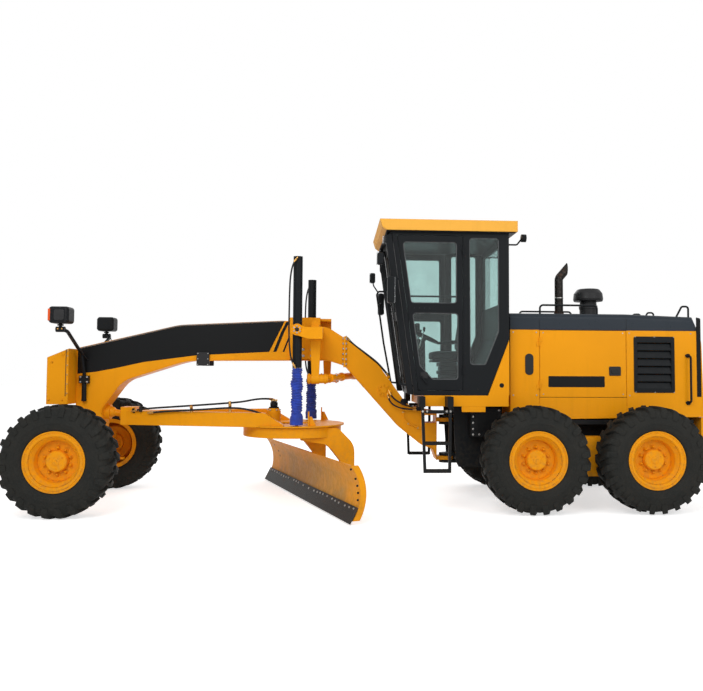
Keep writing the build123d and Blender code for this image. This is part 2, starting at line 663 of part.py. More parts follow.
def lift_barrel(side):
    """A left lift cylinder's barrel with its trunnion pins."""
    x = lift_x(side)
    drop = FAR_BARREL_DROP if side < 0 else 0
    z0 = LIFT_BARREL_BOTTOM_Z - drop
    z1 = z0 + LIFT_BARREL_LENGTH
    r = LIFT_BARREL_RADIUS
    shape = bar((x, LIFT_Y, z0), (x, LIFT_Y, z1), r)
    shape += bar((x, LIFT_Y, TRUNNION_Z - 45), (x, LIFT_Y, TRUNNION_Z + 45), r + 6)
    shape += bar((x, LIFT_Y - r - 50, TRUNNION_Z), (x, LIFT_Y + r + 40, TRUNNION_Z), 30)
    bore_top = z0 + LIFT_ROD_INSIDE + LIFT_TRAVEL
    bore = bar((x, LIFT_Y, z0 - 10), (x, LIFT_Y, min(bore_top, z1 - 30)), LIFT_ROD_RADIUS + FIT)
    return shape - bore


def lift_rod(side):
    """A left lift cylinder's rod, with the cup over the drawbar's ball stud."""
    x = lift_x(side)
    drop = FAR_BARREL_DROP if side < 0 else 0
    top = LIFT_BARREL_BOTTOM_Z - drop + LIFT_ROD_INSIDE
    roof = LIFT_BALL_Z + LIFT_BALL_RADIUS + GAP
    shape = bar((x, LIFT_Y, roof), (x, LIFT_Y, top), LIFT_ROD_RADIUS)
    cup = bar((x, LIFT_Y, LIFT_CUP_LOW_Z), (x, LIFT_Y, LIFT_CUP_TOP_Z), LIFT_CUP_RADIUS)
    return shape + cup - bar((x, LIFT_Y, LIFT_CUP_LOW_Z - 5), (x, LIFT_Y, roof), LIFT_CUP_BORE)


def lift_bellows(side):
    drop = FAR_BARREL_DROP if side < 0 else 0
    low, top = LIFT_CUP_TOP_Z + FIT, LIFT_BARREL_BOTTOM_Z - drop - FIT
    inner = LIFT_ROD_RADIUS + FIT
    points = ((inner, low), (BELLOWS_RADIUS, low), (BELLOWS_RADIUS, top), (inner, top))
    return turned(points, (lift_x(side), LIFT_Y, 0), (0, 0, 1))


# Drawbar, circle and blade
def drawbar():
    """The A-frame from its front ball to the plate over the circle, with the lift cylinders' studs."""
    low, top = PLATE_BOTTOM_Z, PLATE_BOTTOM_Z + DRAWBAR_HEIGHT
    shape = Pos(BALL_X, 0, BALL_Z) * Sphere(BALL_RADIUS)
    shape += bar((BALL_X, 0, BALL_Z), (BALL_X - 170, 0, BALL_Z - 30), 45)
    shape += bar((BALL_X - 170, 0, BALL_Z - 30), (BALL_X - 125, 0, BALL_Z - 24), 72)
    shape += block(BALL_X - 340, BALL_X - 150, -120, 120, low, BALL_Z + 70)
    reach, slope_x = CIRCLE_X + 80, CIRCLE_X + 330
    beam = top_plate(
        ((BALL_X - 220, 10), (BALL_X - 220, 120), (reach, 645), (reach, 645 - DRAWBAR_WALL),
         (BALL_X - 440, 10)), low, top)
    slope = ((slope_x, top), (reach - 5, PLATE_TOP_Z + 12), (reach - 5, top + 5), (slope_x, top + 5))
    wedge = side_plate(slope, 0, PLATE_RADIUS)
    shape += both_sides(beam - wedge)
    shape += top_plate(((2200, -330), (2200, 330), (1400, 585), (1400, -585)), low, PLATE_TOP_Z)
    shape += bar((CIRCLE_X, 0, low), (CIRCLE_X, 0, PLATE_TOP_Z), PLATE_RADIUS)
    shape -= bar((CIRCLE_X, 0, low - 5), (CIRCLE_X, 0, PLATE_TOP_Z + 5), 220)
    lip = RING_INNER_RADIUS - FIT
    shoe = turned(
        ((470, low), (lip, low), (lip, low - 40), (519, low - 40), (519, RING_BOTTOM_Z + 20),
         (550, RING_BOTTOM_Z + 20), (550, RING_BOTTOM_Z), (470, RING_BOTTOM_Z)),
        (CIRCLE_X, 0, 0), (0, 0, 1))
    for angle in (45, 135, 225, 315):
        a = radians(angle)
        pad = Pos(CIRCLE_X + 520 * cos(a), 520 * sin(a), low - 60) * Rot(0, 0, angle) * Box(160, 180, 300)
        shape += shoe & pad
    shape += both_lifts(lift_seat())
    return shape + circle_drive()


def lift_seat():
    """The left ball stud, with the upright plate and gusset behind it."""
    stud = bar((LIFT_X, LIFT_Y, PLATE_TOP_Z), (LIFT_X, LIFT_Y, LIFT_BALL_Z), LIFT_BALL_RADIUS * 0.65)
    stud += Pos(LIFT_X, LIFT_Y, LIFT_BALL_Z) * Sphere(LIFT_BALL_RADIUS)
    x = LIFT_X - LIFT_CUP_RADIUS - 65
    y0, y1 = LIFT_Y - 90, LIFT_Y - 10
    stud += front_plate(
        ((y0, PLATE_TOP_Z), (y1, PLATE_TOP_Z), (y1, PLATE_TOP_Z + 150), (y0 + 30, PLATE_TOP_Z + 185),
         (y0, PLATE_TOP_Z + 150)), x - 18, x)
    gusset = ((x - 18, PLATE_TOP_Z), (x - 18, PLATE_TOP_Z + 120), (x - 50, PLATE_TOP_Z + 120),
              (x - 110, PLATE_TOP_Z))
    return stud + side_plate(gusset, y0 + 30, y0 + 50)


def circle_drive():
    """The round gearbox on the drawbar that turns the circle, with its stepped cap."""
    x, y, z = CIRCLE_X + 230, 300, PLATE_TOP_Z
    # Radius, height
    points = ((0, 0), (105, 0), (105, 24), (90, 30), (90, 180), (72, 192), (72, 215), (0, 215))
    return turned([(r, z + h) for r, h in points], (x, y, 0), (0, 0, 1))


def place_blade(shape):
    """Carries a shape from the blade's own frame to the machine's."""
    return Pos(CIRCLE_X, 0, 0) * Rot(0, 0, BLADE_YAW) * shape


BLADE_RADIUS = (BLADE_HEIGHT ** 2 / 4 + BLADE_SAGITTA ** 2) / (2 * BLADE_SAGITTA)
BLADE_TOP_Z = BLADE_GROUND_GAP + BLADE_HEIGHT
BLADE_MID_Z = BLADE_GROUND_GAP + BLADE_HEIGHT / 2
BLADE_CENTRE_X = -BLADE_SETBACK - BLADE_SAGITTA + BLADE_RADIUS


def face_x(z, depth=0.0):
    """The blade's curved face at height z, or a surface that lies depth behind it."""
    return BLADE_CENTRE_X - sqrt((BLADE_RADIUS + depth) ** 2 - (z - BLADE_MID_Z) ** 2)


def circle():
    """The turntable ring with its two arms, in the machine's frame."""
    flange_low = RING_BOTTOM_Z + 60
    ring = turned(
        ((RING_INNER_RADIUS, RING_BOTTOM_Z), (RING_RADIUS, RING_BOTTOM_Z), (RING_RADIUS, RING_TOP_Z),
         (RING_INNER_RADIUS, RING_TOP_Z), (RING_INNER_RADIUS, RING_TOP_Z - 40),
         (RING_INNER_RADIUS - 34, RING_TOP_Z - 45), (RING_INNER_RADIUS - 34, flange_low - 25),
         (RING_INNER_RADIUS, flange_low - 30)),
        (0, 0, 0), (0, 0, 1))
    # Arm outline: x, z, corner radius
    table = (
        (-190, RING_TOP_Z - 10, 0), (-440, RING_TOP_Z - 10, 120), (-675, 770, 240),
        (-675, TILT_Z + 120, 150), (TILT_X, TILT_Z - TILT_BOSS_RADIUS, 0),
        (TILT_X, TILT_Z + TILT_BOSS_RADIUS, 0), (-480, 560, 60), (-300, 780, 200),
        (60, RING_BOTTOM_Z - 30, 0), (60, RING_BOTTOM_Z - GAP, 0), (-190, RING_BOTTOM_Z - GAP, 0),
    )
    arm = side_plate([(x, z) for x, z, r in table], ARM_Y - ARM_WALL / 2, ARM_Y + ARM_WALL / 2,
                     [r for x, z, r in table])
    arm += disc((TILT_X, ARM_Y, TILT_Z), (0, 1, 0), TILT_BOSS_RADIUS, ARM_WALL)
    arm -= disc((TILT_X, ARM_Y, TILT_Z), (0, 1, 0), TILT_PIN_RADIUS + FIT, 3 * ARM_WALL)
    return place_blade(ring + both_sides(arm))


RAILS = (("low", 165), ("top", 520))    # name, height of the rail's middle


def rail_x():
    """The rear face of both rails."""
    return face_x(BLADE_MID_Z, BLADE_WALL) - RAIL_GRIP - GAP


def blade_carrier():
    """The tilting cross tube, with the guides that the blade's rails slide in."""
    inner = ARM_Y - ARM_WALL / 2 - GAP
    shape = bar((TILT_X, -inner, TILT_Z), (TILT_X, inner, TILT_Z), 60)
    shape += bar((TILT_X, -ARM_Y - 30, TILT_Z), (TILT_X, ARM_Y + 30, TILT_Z), TILT_PIN_RADIUS)
    back = rail_x()
    y0, y1 = GUIDE_Y - GUIDE_LENGTH / 2, GUIDE_Y + GUIDE_LENGTH / 2
    low, top = RAILS[0][1], RAILS[1][1]
    post = side_plate(
        ((TILT_X - 40, TILT_Z - 50), (back - FIT, low - 60), (back - FIT, top + 60),
         (back - 60, top + 60), (TILT_X - 40, TILT_Z + 50)), y0, y1)
    half = RAIL_SIZE / 2
    for _, z in RAILS:
        post += block(back - 5, back + RAIL_GRIP, y0, y1, z + half + FIT, z + half + 26)
        post += block(back - 5, back + RAIL_GRIP, y0, y1, z - half - 26, z - half - FIT)
    shape += both_sides(post)
    return place_blade(shape)


def blade_skin(low, top, depth):
    """The curved face between two heights and a surface that depth behind it, as a closed outline."""
    front_arc = ThreePointArc((face_x(low), low), (face_x(BLADE_MID_Z), BLADE_MID_Z), (face_x(top), top))
    back_arc = ThreePointArc((face_x(top, depth), top), (face_x(BLADE_MID_Z, depth), BLADE_MID_Z),
                             (face_x(low, depth), low))
    edges = front_arc + Line(front_arc @ 1, back_arc @ 0) + back_arc + Line(back_arc @ 1, front_arc @ 0)
    return Plane.XZ * make_face(edges)


def moldboard():
    """The curved blade with a deep plate at each end and two slide rails behind it."""
    low, top = BLADE_GROUND_GAP + 35, BLADE_TOP_Z
    half = BLADE_LENGTH / 2
    shape = Pos(0, -half, 0) * extrude(blade_skin(low, top, BLADE_WALL), amount=2 * half, dir=(0, 1, 0))
    end = extrude(blade_skin(low, top, END_PLATE_DEPTH), amount=BLADE_WALL, dir=(0, 1, 0))
    shape += both_sides(Pos(0, half - BLADE_WALL, 0) * end)
    size = RAIL_SIZE / 2
    back = rail_x()
    for _, z in RAILS:
        front = max(face_x(z - size, BLADE_WALL), face_x(z + size, BLADE_WALL)) + 6
        rail = block(back, front, -RAIL_LENGTH / 2, RAIL_LENGTH / 2, z - size, z + size)
        shape += rail
    return place_blade(Pos(0, BLADE_OFFSET, 0) * shape)


def cutting_edge():
    """The bolted edge along the foot of the blade, in front of its face."""
    low, top = BLADE_GROUND_GAP, BLADE_GROUND_GAP + EDGE_HEIGHT
    p, q = Vector(face_x(low), low), Vector(face_x(top), top)
    along = (q - p).normalized()
    out = Vector(along.Y, -along.X)
    corners = (p, q, q + out * EDGE_WALL, p + out * EDGE_WALL)
    points = [(c.X, c.Y) for c in corners]
    edge = side_plate(points, -BLADE_LENGTH / 2, BLADE_LENGTH / 2)
    return place_blade(Pos(0, BLADE_OFFSET, 0) * edge)


# Rear frame, engine and hood
def rear_frame():
    x0, x1 = REAR_END_X + BUMPER_DEPTH, BULKHEAD_X - 50
    half = FRAME_RAIL_WIDTH / 2
    top = FRAME_RAIL_BOTTOM_Z + FRAME_RAIL_HEIGHT
    rail = block(x0, x1, RAIL_Y - half, RAIL_Y + half, FRAME_RAIL_BOTTOM_Z, top)
    shape = both_sides(rail)
    edge = RAIL_Y + half
    shape += block(BULKHEAD_X - 50, BULKHEAD_X, -edge, edge, 480, 1180)
    sill = CAB_FLOOR_Z - SILL_HEIGHT
    side = side_plate(((-1110, 490), (-1075, 560), (-1035, sill), (-1690, sill), (-1690, 760),
                       (-1500, 490)), edge, edge + 20)
    shape += both_sides(side)
    for x in (-1660, -2300, -2800, -3400, -4100):
        shape += block(x - 50, x + 50, -RAIL_Y, RAIL_Y, top - 85, top - 10)
    for z in (HITCH_TOP_Z, HITCH_LOW_Z):
        for step in (-1, 1):
            mid = z + step * (HITCH_PLATE / 2 + GAP + HITCH_FORK / 2)
            shape += hitch_ear(BULKHEAD_X, mid, HITCH_FORK)
        reach = HITCH_PLATE / 2 + GAP + HITCH_FORK
        shape += bar((HITCH_X, 0, z - reach), (HITCH_X, 0, z + reach), HITCH_PIN_RADIUS)
    return shape


def rear_bumper():
    """The heavy plate across the rear, with a jaw and an upright bore for a tow pin."""
    bumper = block(REAR_END_X, REAR_END_X + BUMPER_DEPTH, -600, 600, 700, 1150)
    jaw = TOW_JAW_HEIGHT / 2
    bumper -= block(REAR_END_X - 5, REAR_END_X + BUMPER_DEPTH - 25, -70, 70,
                    TOW_JAW_Z - jaw, TOW_JAW_Z + jaw)
    pin_x = REAR_END_X + TOW_PIN_INSET
    bumper -= bar((pin_x, 0, TOW_JAW_Z - jaw - 60), (pin_x, 0, 1155), TOW_PIN_RADIUS)
    return bumper


def hood_sills():
    """Shelves on the frame rails that carry the hood's lower edges."""
    edge = RAIL_Y + FRAME_RAIL_WIDTH / 2
    top = FRAME_RAIL_BOTTOM_Z + FRAME_RAIL_HEIGHT
    shelf = block(HOOD_REAR_X + 20, HOOD_FRONT_X, edge - 30, HOOD_WIDTH / 2,
                  HOOD_BOTTOM_Z - 60, HOOD_BOTTOM_Z)
    web = block(HOOD_REAR_X + 20, HOOD_FRONT_X, edge - 30, edge, top, HOOD_BOTTOM_Z)
    return both_sides(shelf + web)


def engine():
    return block(ENGINE_DOOR_REAR_X, ENGINE_DOOR_FRONT_X - 200, -330, 330,
                 FRAME_RAIL_BOTTOM_Z + FRAME_RAIL_HEIGHT, HOOD_TOP_Z - 540)




def hood_top_z(x):
    """The hood's top at x: level, then falling behind the bend."""
    share = max(0.0, (HOOD_BEND_X - x) / (HOOD_BEND_X - HOOD_REAR_X))
    return HOOD_TOP_Z - HOOD_FALL * share


def hood_shell(inset):
    """The hood's outside, or a solid that lies inset within it."""
    half = HOOD_WIDTH / 2 - inset
    front, rear = HOOD_FRONT_X - inset, HOOD_REAR_X + inset / 2
    top = HOOD_TOP_Z - inset
    bottom = HOOD_BOTTOM_Z if inset == 0 else HOOD_BOTTOM_Z - 10
    points = (
        (front, bottom), (front, top), (HOOD_BEND_X, top), (rear, top - HOOD_FALL),
        (HOOD_REAR_X - 100 + inset, HOOD_TOP_Z - 255 - inset / 3),
        (HOOD_REAR_X - 130 + inset, bottom + 40),
    )
    return side_plate(points, -half, half)


def hood():
    half = HOOD_WIDTH / 2
    outer = hood_shell(0)
    long_edges = [e for e in outer.edges() if e.center().Z > HOOD_TOP_Z - 200 and e.length > 200
                  and abs(abs(e.center().Y) - half) < 1]
    outer = fillet(long_edges, HOOD_EDGE_RADIUS)
    shape = outer - hood_shell(HOOD_WALL)
    shape -= block(ENGINE_DOOR_REAR_X, ENGINE_DOOR_FRONT_X, -2 * half, 2 * half,
                   ENGINE_DOOR_BOTTOM_Z, ENGINE_DOOR_TOP_Z)
    shape -= block(SIDE_GRILLE_REAR_X, SIDE_GRILLE_FRONT_X, -2 * half, 2 * half,
                   SIDE_GRILLE_BOTTOM_Z, SIDE_GRILLE_TOP_Z)
    shape -= block(HOOD_REAR_X - 200, HOOD_REAR_X - 60, -450, 450, 1300, 2100)
    shape -= hood_seams()
    for fixed, _ in engine_door_hinges():
        shape += both_sides(fixed)
    return shape


def hood_seams():
    """Shallow grooves in the hood's sides where its panels meet."""
    half, w = HOOD_WIDTH / 2, SEAM_WIDTH / 2
    # Each groove: x0, x1, z0, z1
    table = [(HOOD_REAR_X - 60, ENGINE_DOOR_REAR_X, HOOD_BAND_Z - w, HOOD_BAND_Z + w),
             (ENGINE_DOOR_FRONT_X, HOOD_FRONT_X + 5, HOOD_BAND_Z - w, HOOD_BAND_Z + w)]
    for x in (ENGINE_DOOR_FRONT_X, ENGINE_DOOR_REAR_X):
        table.append((x - w, x + w, HOOD_BOTTOM_Z - 5, ENGINE_DOOR_BOTTOM_Z))
        table.append((x - w, x + w, ENGINE_DOOR_TOP_Z, HOOD_TOP_Z - HOOD_EDGE_RADIUS))
    grooves = [block(x0, x1, half - SEAM_DEPTH, half + 5, z0, z1) for x0, x1, z0, z1 in table]
    return both_sides(grooves[0] + grooves[1:])


def engine_door_hinges():
    x = ENGINE_DOOR_FRONT_X - DOOR_GAP / 2
    return [hinge_pair(x, HOOD_WIDTH / 2 + HINGE_RADIUS, z, HINGE_LEAF, x - 40, x + 40)
            for z in ENGINE_DOOR_HINGES_Z]


def engine_door():
    """The left engine door, hinged at its front edge."""
    y = HOOD_WIDTH / 2
    shape = block(ENGINE_DOOR_REAR_X + DOOR_GAP, ENGINE_DOOR_FRONT_X - DOOR_GAP, y - HOOD_WALL, y,
                  ENGINE_DOOR_BOTTOM_Z + DOOR_GAP, ENGINE_DOOR_TOP_Z - DOOR_GAP)
    for _, moving in engine_door_hinges():
        shape += moving
    return shape


def grilles():
    """Framed louvres in the hood's sides and a slatted panel in its rear."""
    y = HOOD_WIDTH / 2
    x0, x1 = SIDE_GRILLE_REAR_X, SIDE_GRILLE_FRONT_X
    z0, z1 = SIDE_GRILLE_BOTTOM_Z, SIDE_GRILLE_TOP_Z
    m = GRILLE_FRAME
    shape = block(x0, x1, y - HOOD_WALL, y, z0, z1)
    lip = side_plate(((x0 - 12, z0 - 12), (x1 + 12, z0 - 12), (x1 + 12, z1 + 12), (x0 - 12, z1 + 12)),
                     y, y + 7, 28)
    shape += lip
    shape -= block(x0 + m, x1 - m, y - HOOD_WALL - 1, y + 8, z0 + m, z1 - 2 * m)
    pitch = (z1 - z0 - 3 * m) / LOUVRES
    for i in range(LOUVRES):
        z = z0 + m - 4 + i * pitch
        blade = ((y + 4, z), (y - 26, z + pitch * 0.86), (y - 26, z + pitch * 0.86 + 12), (y + 4, z + 14))
        shape += front_plate(blade, x0 + m - 2, x1 - m + 2)
    x = HOOD_REAR_X - 130
    rear = block(x + 22, x + HOOD_WALL + 10, -450, 450, 1300, 2100)
    count = 12
    for i in range(count):
        z = 1320 + i * 65
        rear += block(x + 8, x + 24, -450, 450, z, z + 40)
    return both_sides(shape) + rear


def exhaust():
    """The stack, bent to the rear and cut off upright at its mouth."""
    x, r = EXHAUST_X, EXHAUST_RADIUS
    foot = HOOD_TOP_Z - HOOD_WALL
    shape = pipe(((x, 0, foot), (x, 0, HOOD_TOP_Z + 545), (x - 200, 0, HOOD_TOP_Z + 775)), r, 90)
    mouth = x - 115
    shape -= block(mouth - 200, mouth, -2 * r, 2 * r, HOOD_TOP_Z + 400, HOOD_TOP_Z + 1000)
    shape -= bar((mouth - 5, 0, HOOD_TOP_Z + 678), (mouth + 70, 0, HOOD_TOP_Z + 598), r - 14)
    shape += bar((x, 0, foot), (x, 0, HOOD_TOP_Z + 26), r + 32)
    shape += bar((x, 0, HOOD_TOP_Z + 26), (x, 0, HOOD_TOP_Z + 80), r + 9)
    return shape - hood_shell(0)


def precleaner():
    """The air intake's domed cap, flared at its skirt, on a banded neck."""
    top = HOOD_TOP_Z
    # Radius, height over the hood, corner radius
    table = (
        (0, -HOOD_WALL, 0), (118, -HOOD_WALL, 0), (118, 110, 0), (126, 112, 0), (126, 138, 0), (118, 140, 0),
        (112, 222, 0), (196, 222, 0), (205, 250, 12), (196, 330, 30), (150, 392, 40), (0, 402, 0),
    )
    shape = turned([(r, top + h) for r, h, _ in table], (PRECLEANER_X, 0, 0), (0, 0, 1),
                   [radius for _, _, radius in table])
    return shape - hood_shell(0)


def hood_rails():
    """Rails and a lifting loop on the hood's top edges, and an upright handle on each rear corner."""
    y, side = HOOD_WIDTH / 2 - 90, HOOD_WIDTH / 2
    top = HOOD_TOP_Z + 115
    rail = pipe(((-2185, y, hood_top_z(-2185) + FIT), (-2185, y, top), (-2960, y, top),
                 (-2960, y, hood_top_z(-2960) + FIT)), 13, 45)
    rail += pipe(((-4050, y, hood_top_z(-4050) + FIT), (-4125, y, top), (-4215, y, top),
                  (-4215, y, hood_top_z(-4215) + FIT)), 13, 35)
    out = side + 70
    rail += pipe(((HANDLE_X, side + FIT, HANDLE_LOW_Z), (HANDLE_X - 10, out, HANDLE_LOW_Z + 15),
                  (HANDLE_X - 10, out, HANDLE_TOP_Z - 15), (HANDLE_X, side + FIT, HANDLE_TOP_Z)), 14, 30)
    for z in (HANDLE_LOW_Z, HANDLE_TOP_Z):
        rail += bar((HANDLE_X, side + FIT, z), (HANDLE_X, side + 24, z), 27)
    return both_sides(rail - Pos(0, 0, FIT) * hood_shell(0))


# Cab
CAB_FRONT_TOP_X = -185
CAB_FRONT_LOW_X = -480
CAB_REAR_X = -1710
CAB_REAR_LOW_X = -1425
CAB_KNEE_Z = CAB_FLOOR_Z + 735      # below this the rear edge slopes in
CAB_OUTLINE = (
    (CAB_FRONT_TOP_X, CAB_ROOF_Z),
    (CAB_REAR_X, CAB_ROOF_Z),
    (CAB_REAR_X, CAB_KNEE_Z),
    (CAB_REAR_LOW_X, CAB_FLOOR_Z),
    (CAB_FRONT_LOW_X, CAB_FLOOR_Z),
)
DOOR_REAR_X = -1110
DOOR_LOW_Z = CAB_FLOOR_Z + 60
DOOR_TOP_Z = CAB_ROOF_Z - 50
DOOR_HINGES_Z = (DOOR_LOW_Z + 200, DOOR_TOP_Z - 250)


def cab_front_x(z):
    """The cab's leaning front at height z."""
    share = (z - CAB_FLOOR_Z) / (CAB_ROOF_Z - CAB_FLOOR_Z)
    return CAB_FRONT_LOW_X + share * (CAB_FRONT_TOP_X - CAB_FRONT_LOW_X)


def door_outline(inset):
    front = 60 + inset
    low, top = DOOR_LOW_Z + inset, DOOR_TOP_Z - inset
    return (
        (cab_front_x(top) - front, top), (DOOR_REAR_X + inset, top),
        (DOOR_REAR_X + inset, low), (cab_front_x(low) - front, low),
    )


def window_front(z):
    """The door windows' front edge at height z, beside the cab's leaning front."""
    return cab_front_x(z) - 120


# Windows: x and z of each corner
WINDOW_RADIUS = 45
WINDOW_TOP_Z = DOOR_TOP_Z - 85
UPPER_DOOR_WINDOW = (
    (window_front(WINDOW_TOP_Z), WINDOW_TOP_Z), (DOOR_REAR_X + 80, WINDOW_TOP_Z),
    (DOOR_REAR_X + 80, BELT_Z + 60), (window_front(BELT_Z + 60), BELT_Z + 60),
)
LOWER_DOOR_WINDOW = (
    (window_front(BELT_Z - 60), BELT_Z - 60), (DOOR_REAR_X + 60, BELT_Z - 60),
    (DOOR_REAR_X + 60, DOOR_LOW_Z + 140), (-715, DOOR_LOW_Z + 140),
    (window_front(DOOR_LOW_Z + 320), DOOR_LOW_Z + 320),
)
REAR_SIDE_WINDOW = (
    (-1190, WINDOW_TOP_Z + 60), (CAB_REAR_X + 130, WINDOW_TOP_Z + 60), (CAB_REAR_X + 130, CAB_KNEE_Z + 90),
    (-1405, CAB_FLOOR_Z + 390), (-1200, CAB_FLOOR_Z + 390),
)
FRONT_PANES = ((CAB_FLOOR_Z + 120, BELT_Z - 75), (BELT_Z + 25, CAB_ROOF_Z - 110))
REAR_PANE = (BELT_Z + 85, CAB_ROOF_Z - 130)
ROOF_FRONT_X = -30
ROOF_REAR_X = CAB_REAR_X - 100
LINER = 14                          # the dark panel under the roof


def cab_frame():
    half, w = CAB_WIDTH / 2, CAB_WALL
    outer = side_plate(CAB_OUTLINE, -half, half)
    inner_points = (
        (cab_front_x(CAB_ROOF_Z - w) - w, CAB_ROOF_Z - w),
        (CAB_REAR_X + w, CAB_ROOF_Z - w),
        (CAB_REAR_X + w, CAB_KNEE_Z + 10),
        (CAB_REAR_LOW_X + 40, CAB_FLOOR_Z + w),
        (cab_front_x(CAB_FLOOR_Z + w) - w, CAB_FLOOR_Z + w),
    )
    shape = outer - side_plate(inner_points, -half + w, half - w)
    shape -= side_plate(door_outline(0), -2 * half, 2 * half)
    shape -= side_plate(REAR_SIDE_WINDOW, -2 * half, 2 * half, WINDOW_RADIUS)
    for low, top in FRONT_PANES:
        front = side_plate(
            ((cab_front_x(low) + 30, low), (cab_front_x(top) + 30, top),
             (cab_front_x(top) - w - 30, top), (cab_front_x(low) - w - 30, low)),
            -half + 90, half - 90)
        shape -= front
    low, top = REAR_PANE
    shape -= block(CAB_REAR_X - 10, CAB_REAR_X + w + 10, -half + 110, half - 110, low, top)
    edge = ROOF_WIDTH / 2 - 22
    shape += block(ROOF_REAR_X + 22, ROOF_FRONT_X - 85, -edge, edge, CAB_ROOF_Z - LINER, CAB_ROOF_Z)
    for fixed, _ in cab_door_hinges():
        shape += both_sides(fixed)
    return shape + work_lights()


def work_lights():
    """Round lamps at the roof's rear corners and square ones under its front overhang."""
    y, z = 560, CAB_ROOF_Z - 30
    rear = ROOF_REAR_X - 130
    lamp = pipe(((CAB_REAR_X + 5, y, z - 90), (ROOF_REAR_X - 60, y, z - 90), (rear, y, z)), 11, 40)
    lamp += bar((rear + 10, y, z), (rear - 50, y, z), 52)
    x = ROOF_FRONT_X - 115
    front = Pos(x, 640, CAB_ROOF_Z - 92) * fillet(Box(80, 130, 110).edges(), 16)
    front += bar((x, 640, CAB_ROOF_Z - 45), (x, 640, CAB_ROOF_Z - LINER), 16)
    return both_sides(lamp + front)


def cab_door_hinges():
    x = DOOR_REAR_X + DOOR_GAP / 2
    return [hinge_pair(x, CAB_WIDTH / 2 + HINGE_RADIUS, z, HINGE_LEAF, x + 40, x - 40)
            for z in DOOR_HINGES_Z]


def cab_glass():
    half, w = CAB_WIDTH / 2, CAB_WALL
    side = side_plate(REAR_SIDE_WINDOW, half - w / 2 - GLASS / 2, half - w / 2 + GLASS / 2, WINDOW_RADIUS)
    shape = both_sides(side)
    for low, top in FRONT_PANES:
        mid = -w / 2 - GLASS / 2
        pane = side_plate(
            ((cab_front_x(low) + mid, low), (cab_front_x(top) + mid, top),
             (cab_front_x(top) + mid + GLASS, top), (cab_front_x(low) + mid + GLASS, low)),
            -half + 90, half - 90)
        shape += pane
    low, top = REAR_PANE
    shape += block(CAB_REAR_X + w / 2 - GLASS / 2, CAB_REAR_X + w / 2 + GLASS / 2,
                   -half + 110, half - 110, low, top)
    return shape


def cab_door():
    half = CAB_WIDTH / 2
    shape = side_plate(door_outline(DOOR_GAP), half - CAB_WALL, half, 12)
    for window in (UPPER_DOOR_WINDOW, LOWER_DOOR_WINDOW):
        shape -= side_plate(window, 0, 2 * half, WINDOW_RADIUS)
    handle = bar((-575, half, DOOR_LOW_Z + 175), (-575, half + 34, DOOR_LOW_Z + 175), 16)
    handle += bar((-575, half + 26, DOOR_LOW_Z + 175), (-640, half + 26, DOOR_LOW_Z + 90), 11)
    shape += handle
    for _, moving in cab_door_hinges():
        shape += moving
    return shape


def door_glass():
    mid = CAB_WIDTH / 2 - CAB_WALL / 2
    shape = side_plate(UPPER_DOOR_WINDOW, mid - GLASS / 2, mid + GLASS / 2, WINDOW_RADIUS)
    return shape + side_plate(LOWER_DOOR_WINDOW, mid - GLASS / 2, mid + GLASS / 2, WINDOW_RADIUS)


def cab_roof():
    half = ROOF_WIDTH / 2
    top = CAB_ROOF_Z + ROOF_THICKNESS
    points = ((ROOF_FRONT_X - 30, CAB_ROOF_Z + 40), (ROOF_FRONT_X - 80, CAB_ROOF_Z),
              (ROOF_REAR_X, CAB_ROOF_Z), (ROOF_REAR_X, top), (ROOF_FRONT_X, top))
    return side_plate(points, -half, half)


def cab_base():
    """The yellow sill under the cab and the panels behind its sloping rear edge."""
    half = CAB_WIDTH / 2
    z0 = CAB_FLOOR_Z - SILL_HEIGHT
    shape = block(CAB_REAR_X + 10, -610, -half, half, z0, CAB_FLOOR_Z)
    panel = side_plate(((CAB_REAR_LOW_X - 8, CAB_FLOOR_Z), (CAB_REAR_X, CAB_KNEE_Z - 20),
                        (CAB_REAR_X, CAB_FLOOR_Z)), half - 40, half)
    return shape + both_sides(panel)


def seat():
    shape = block(-1250, -780, -260, 260, 1900, 2010)
    shape += side_plate(((-1230, 2000), (-1130, 2000), (-1240, 2680), (-1330, 2680)), -240, 240)
    return shape + block(-1150, -880, -170, 170, CAB_FLOOR_Z + CAB_WALL, 1900)


def console():
    base = CAB_FLOOR_Z + CAB_WALL
    front = cab_front_x(base) - CAB_WALL - 10
    z = STEERING_WHEEL_Z
    shape = side_plate(((front, base), (front - 180, base), (-700, z - 70), (-620, z - 30)), -120, 120)
    wheel = Pos(-720, 0, z) * Rot(0, -25, 0) * Torus(190, 14)
    hub = Pos(-720, 0, z) * Rot(0, -25, 0) * Box(380, 36, 20)
    return shape + wheel + hub + bar((-660, 0, z - 100), (-722, 0, z + 5), 30)


def ladders():
    """Steps that hang from the sill on each side, between two posts that draw in towards the ground."""
    y0, y1 = CAB_WIDTH / 2, LADDER_Y
    top, low = CAB_FLOOR_Z - 10, STEPS_Z[0] - 18
    # Posts: x at the top and at the foot
    posts = ((-558, -594), (-912, -902))
    shape = None
    for x_top, x_low in posts:
        post = side_plate(((x_top - 18, top), (x_top + 18, top), (x_low + 18, low), (x_low - 18, low)),
                          y1 - 36, y1)
        post += block(x_top - 38, x_top + 38, y0, y1, CAB_FLOOR_Z - SILL_HEIGHT, top)
        shape = post if shape is None else shape + post
    for z in STEPS_Z:
        shape += block(posts[1][1], posts[0][1], y1 - 80, y1, z - 18, z + 18)
    return both_sides(shape)


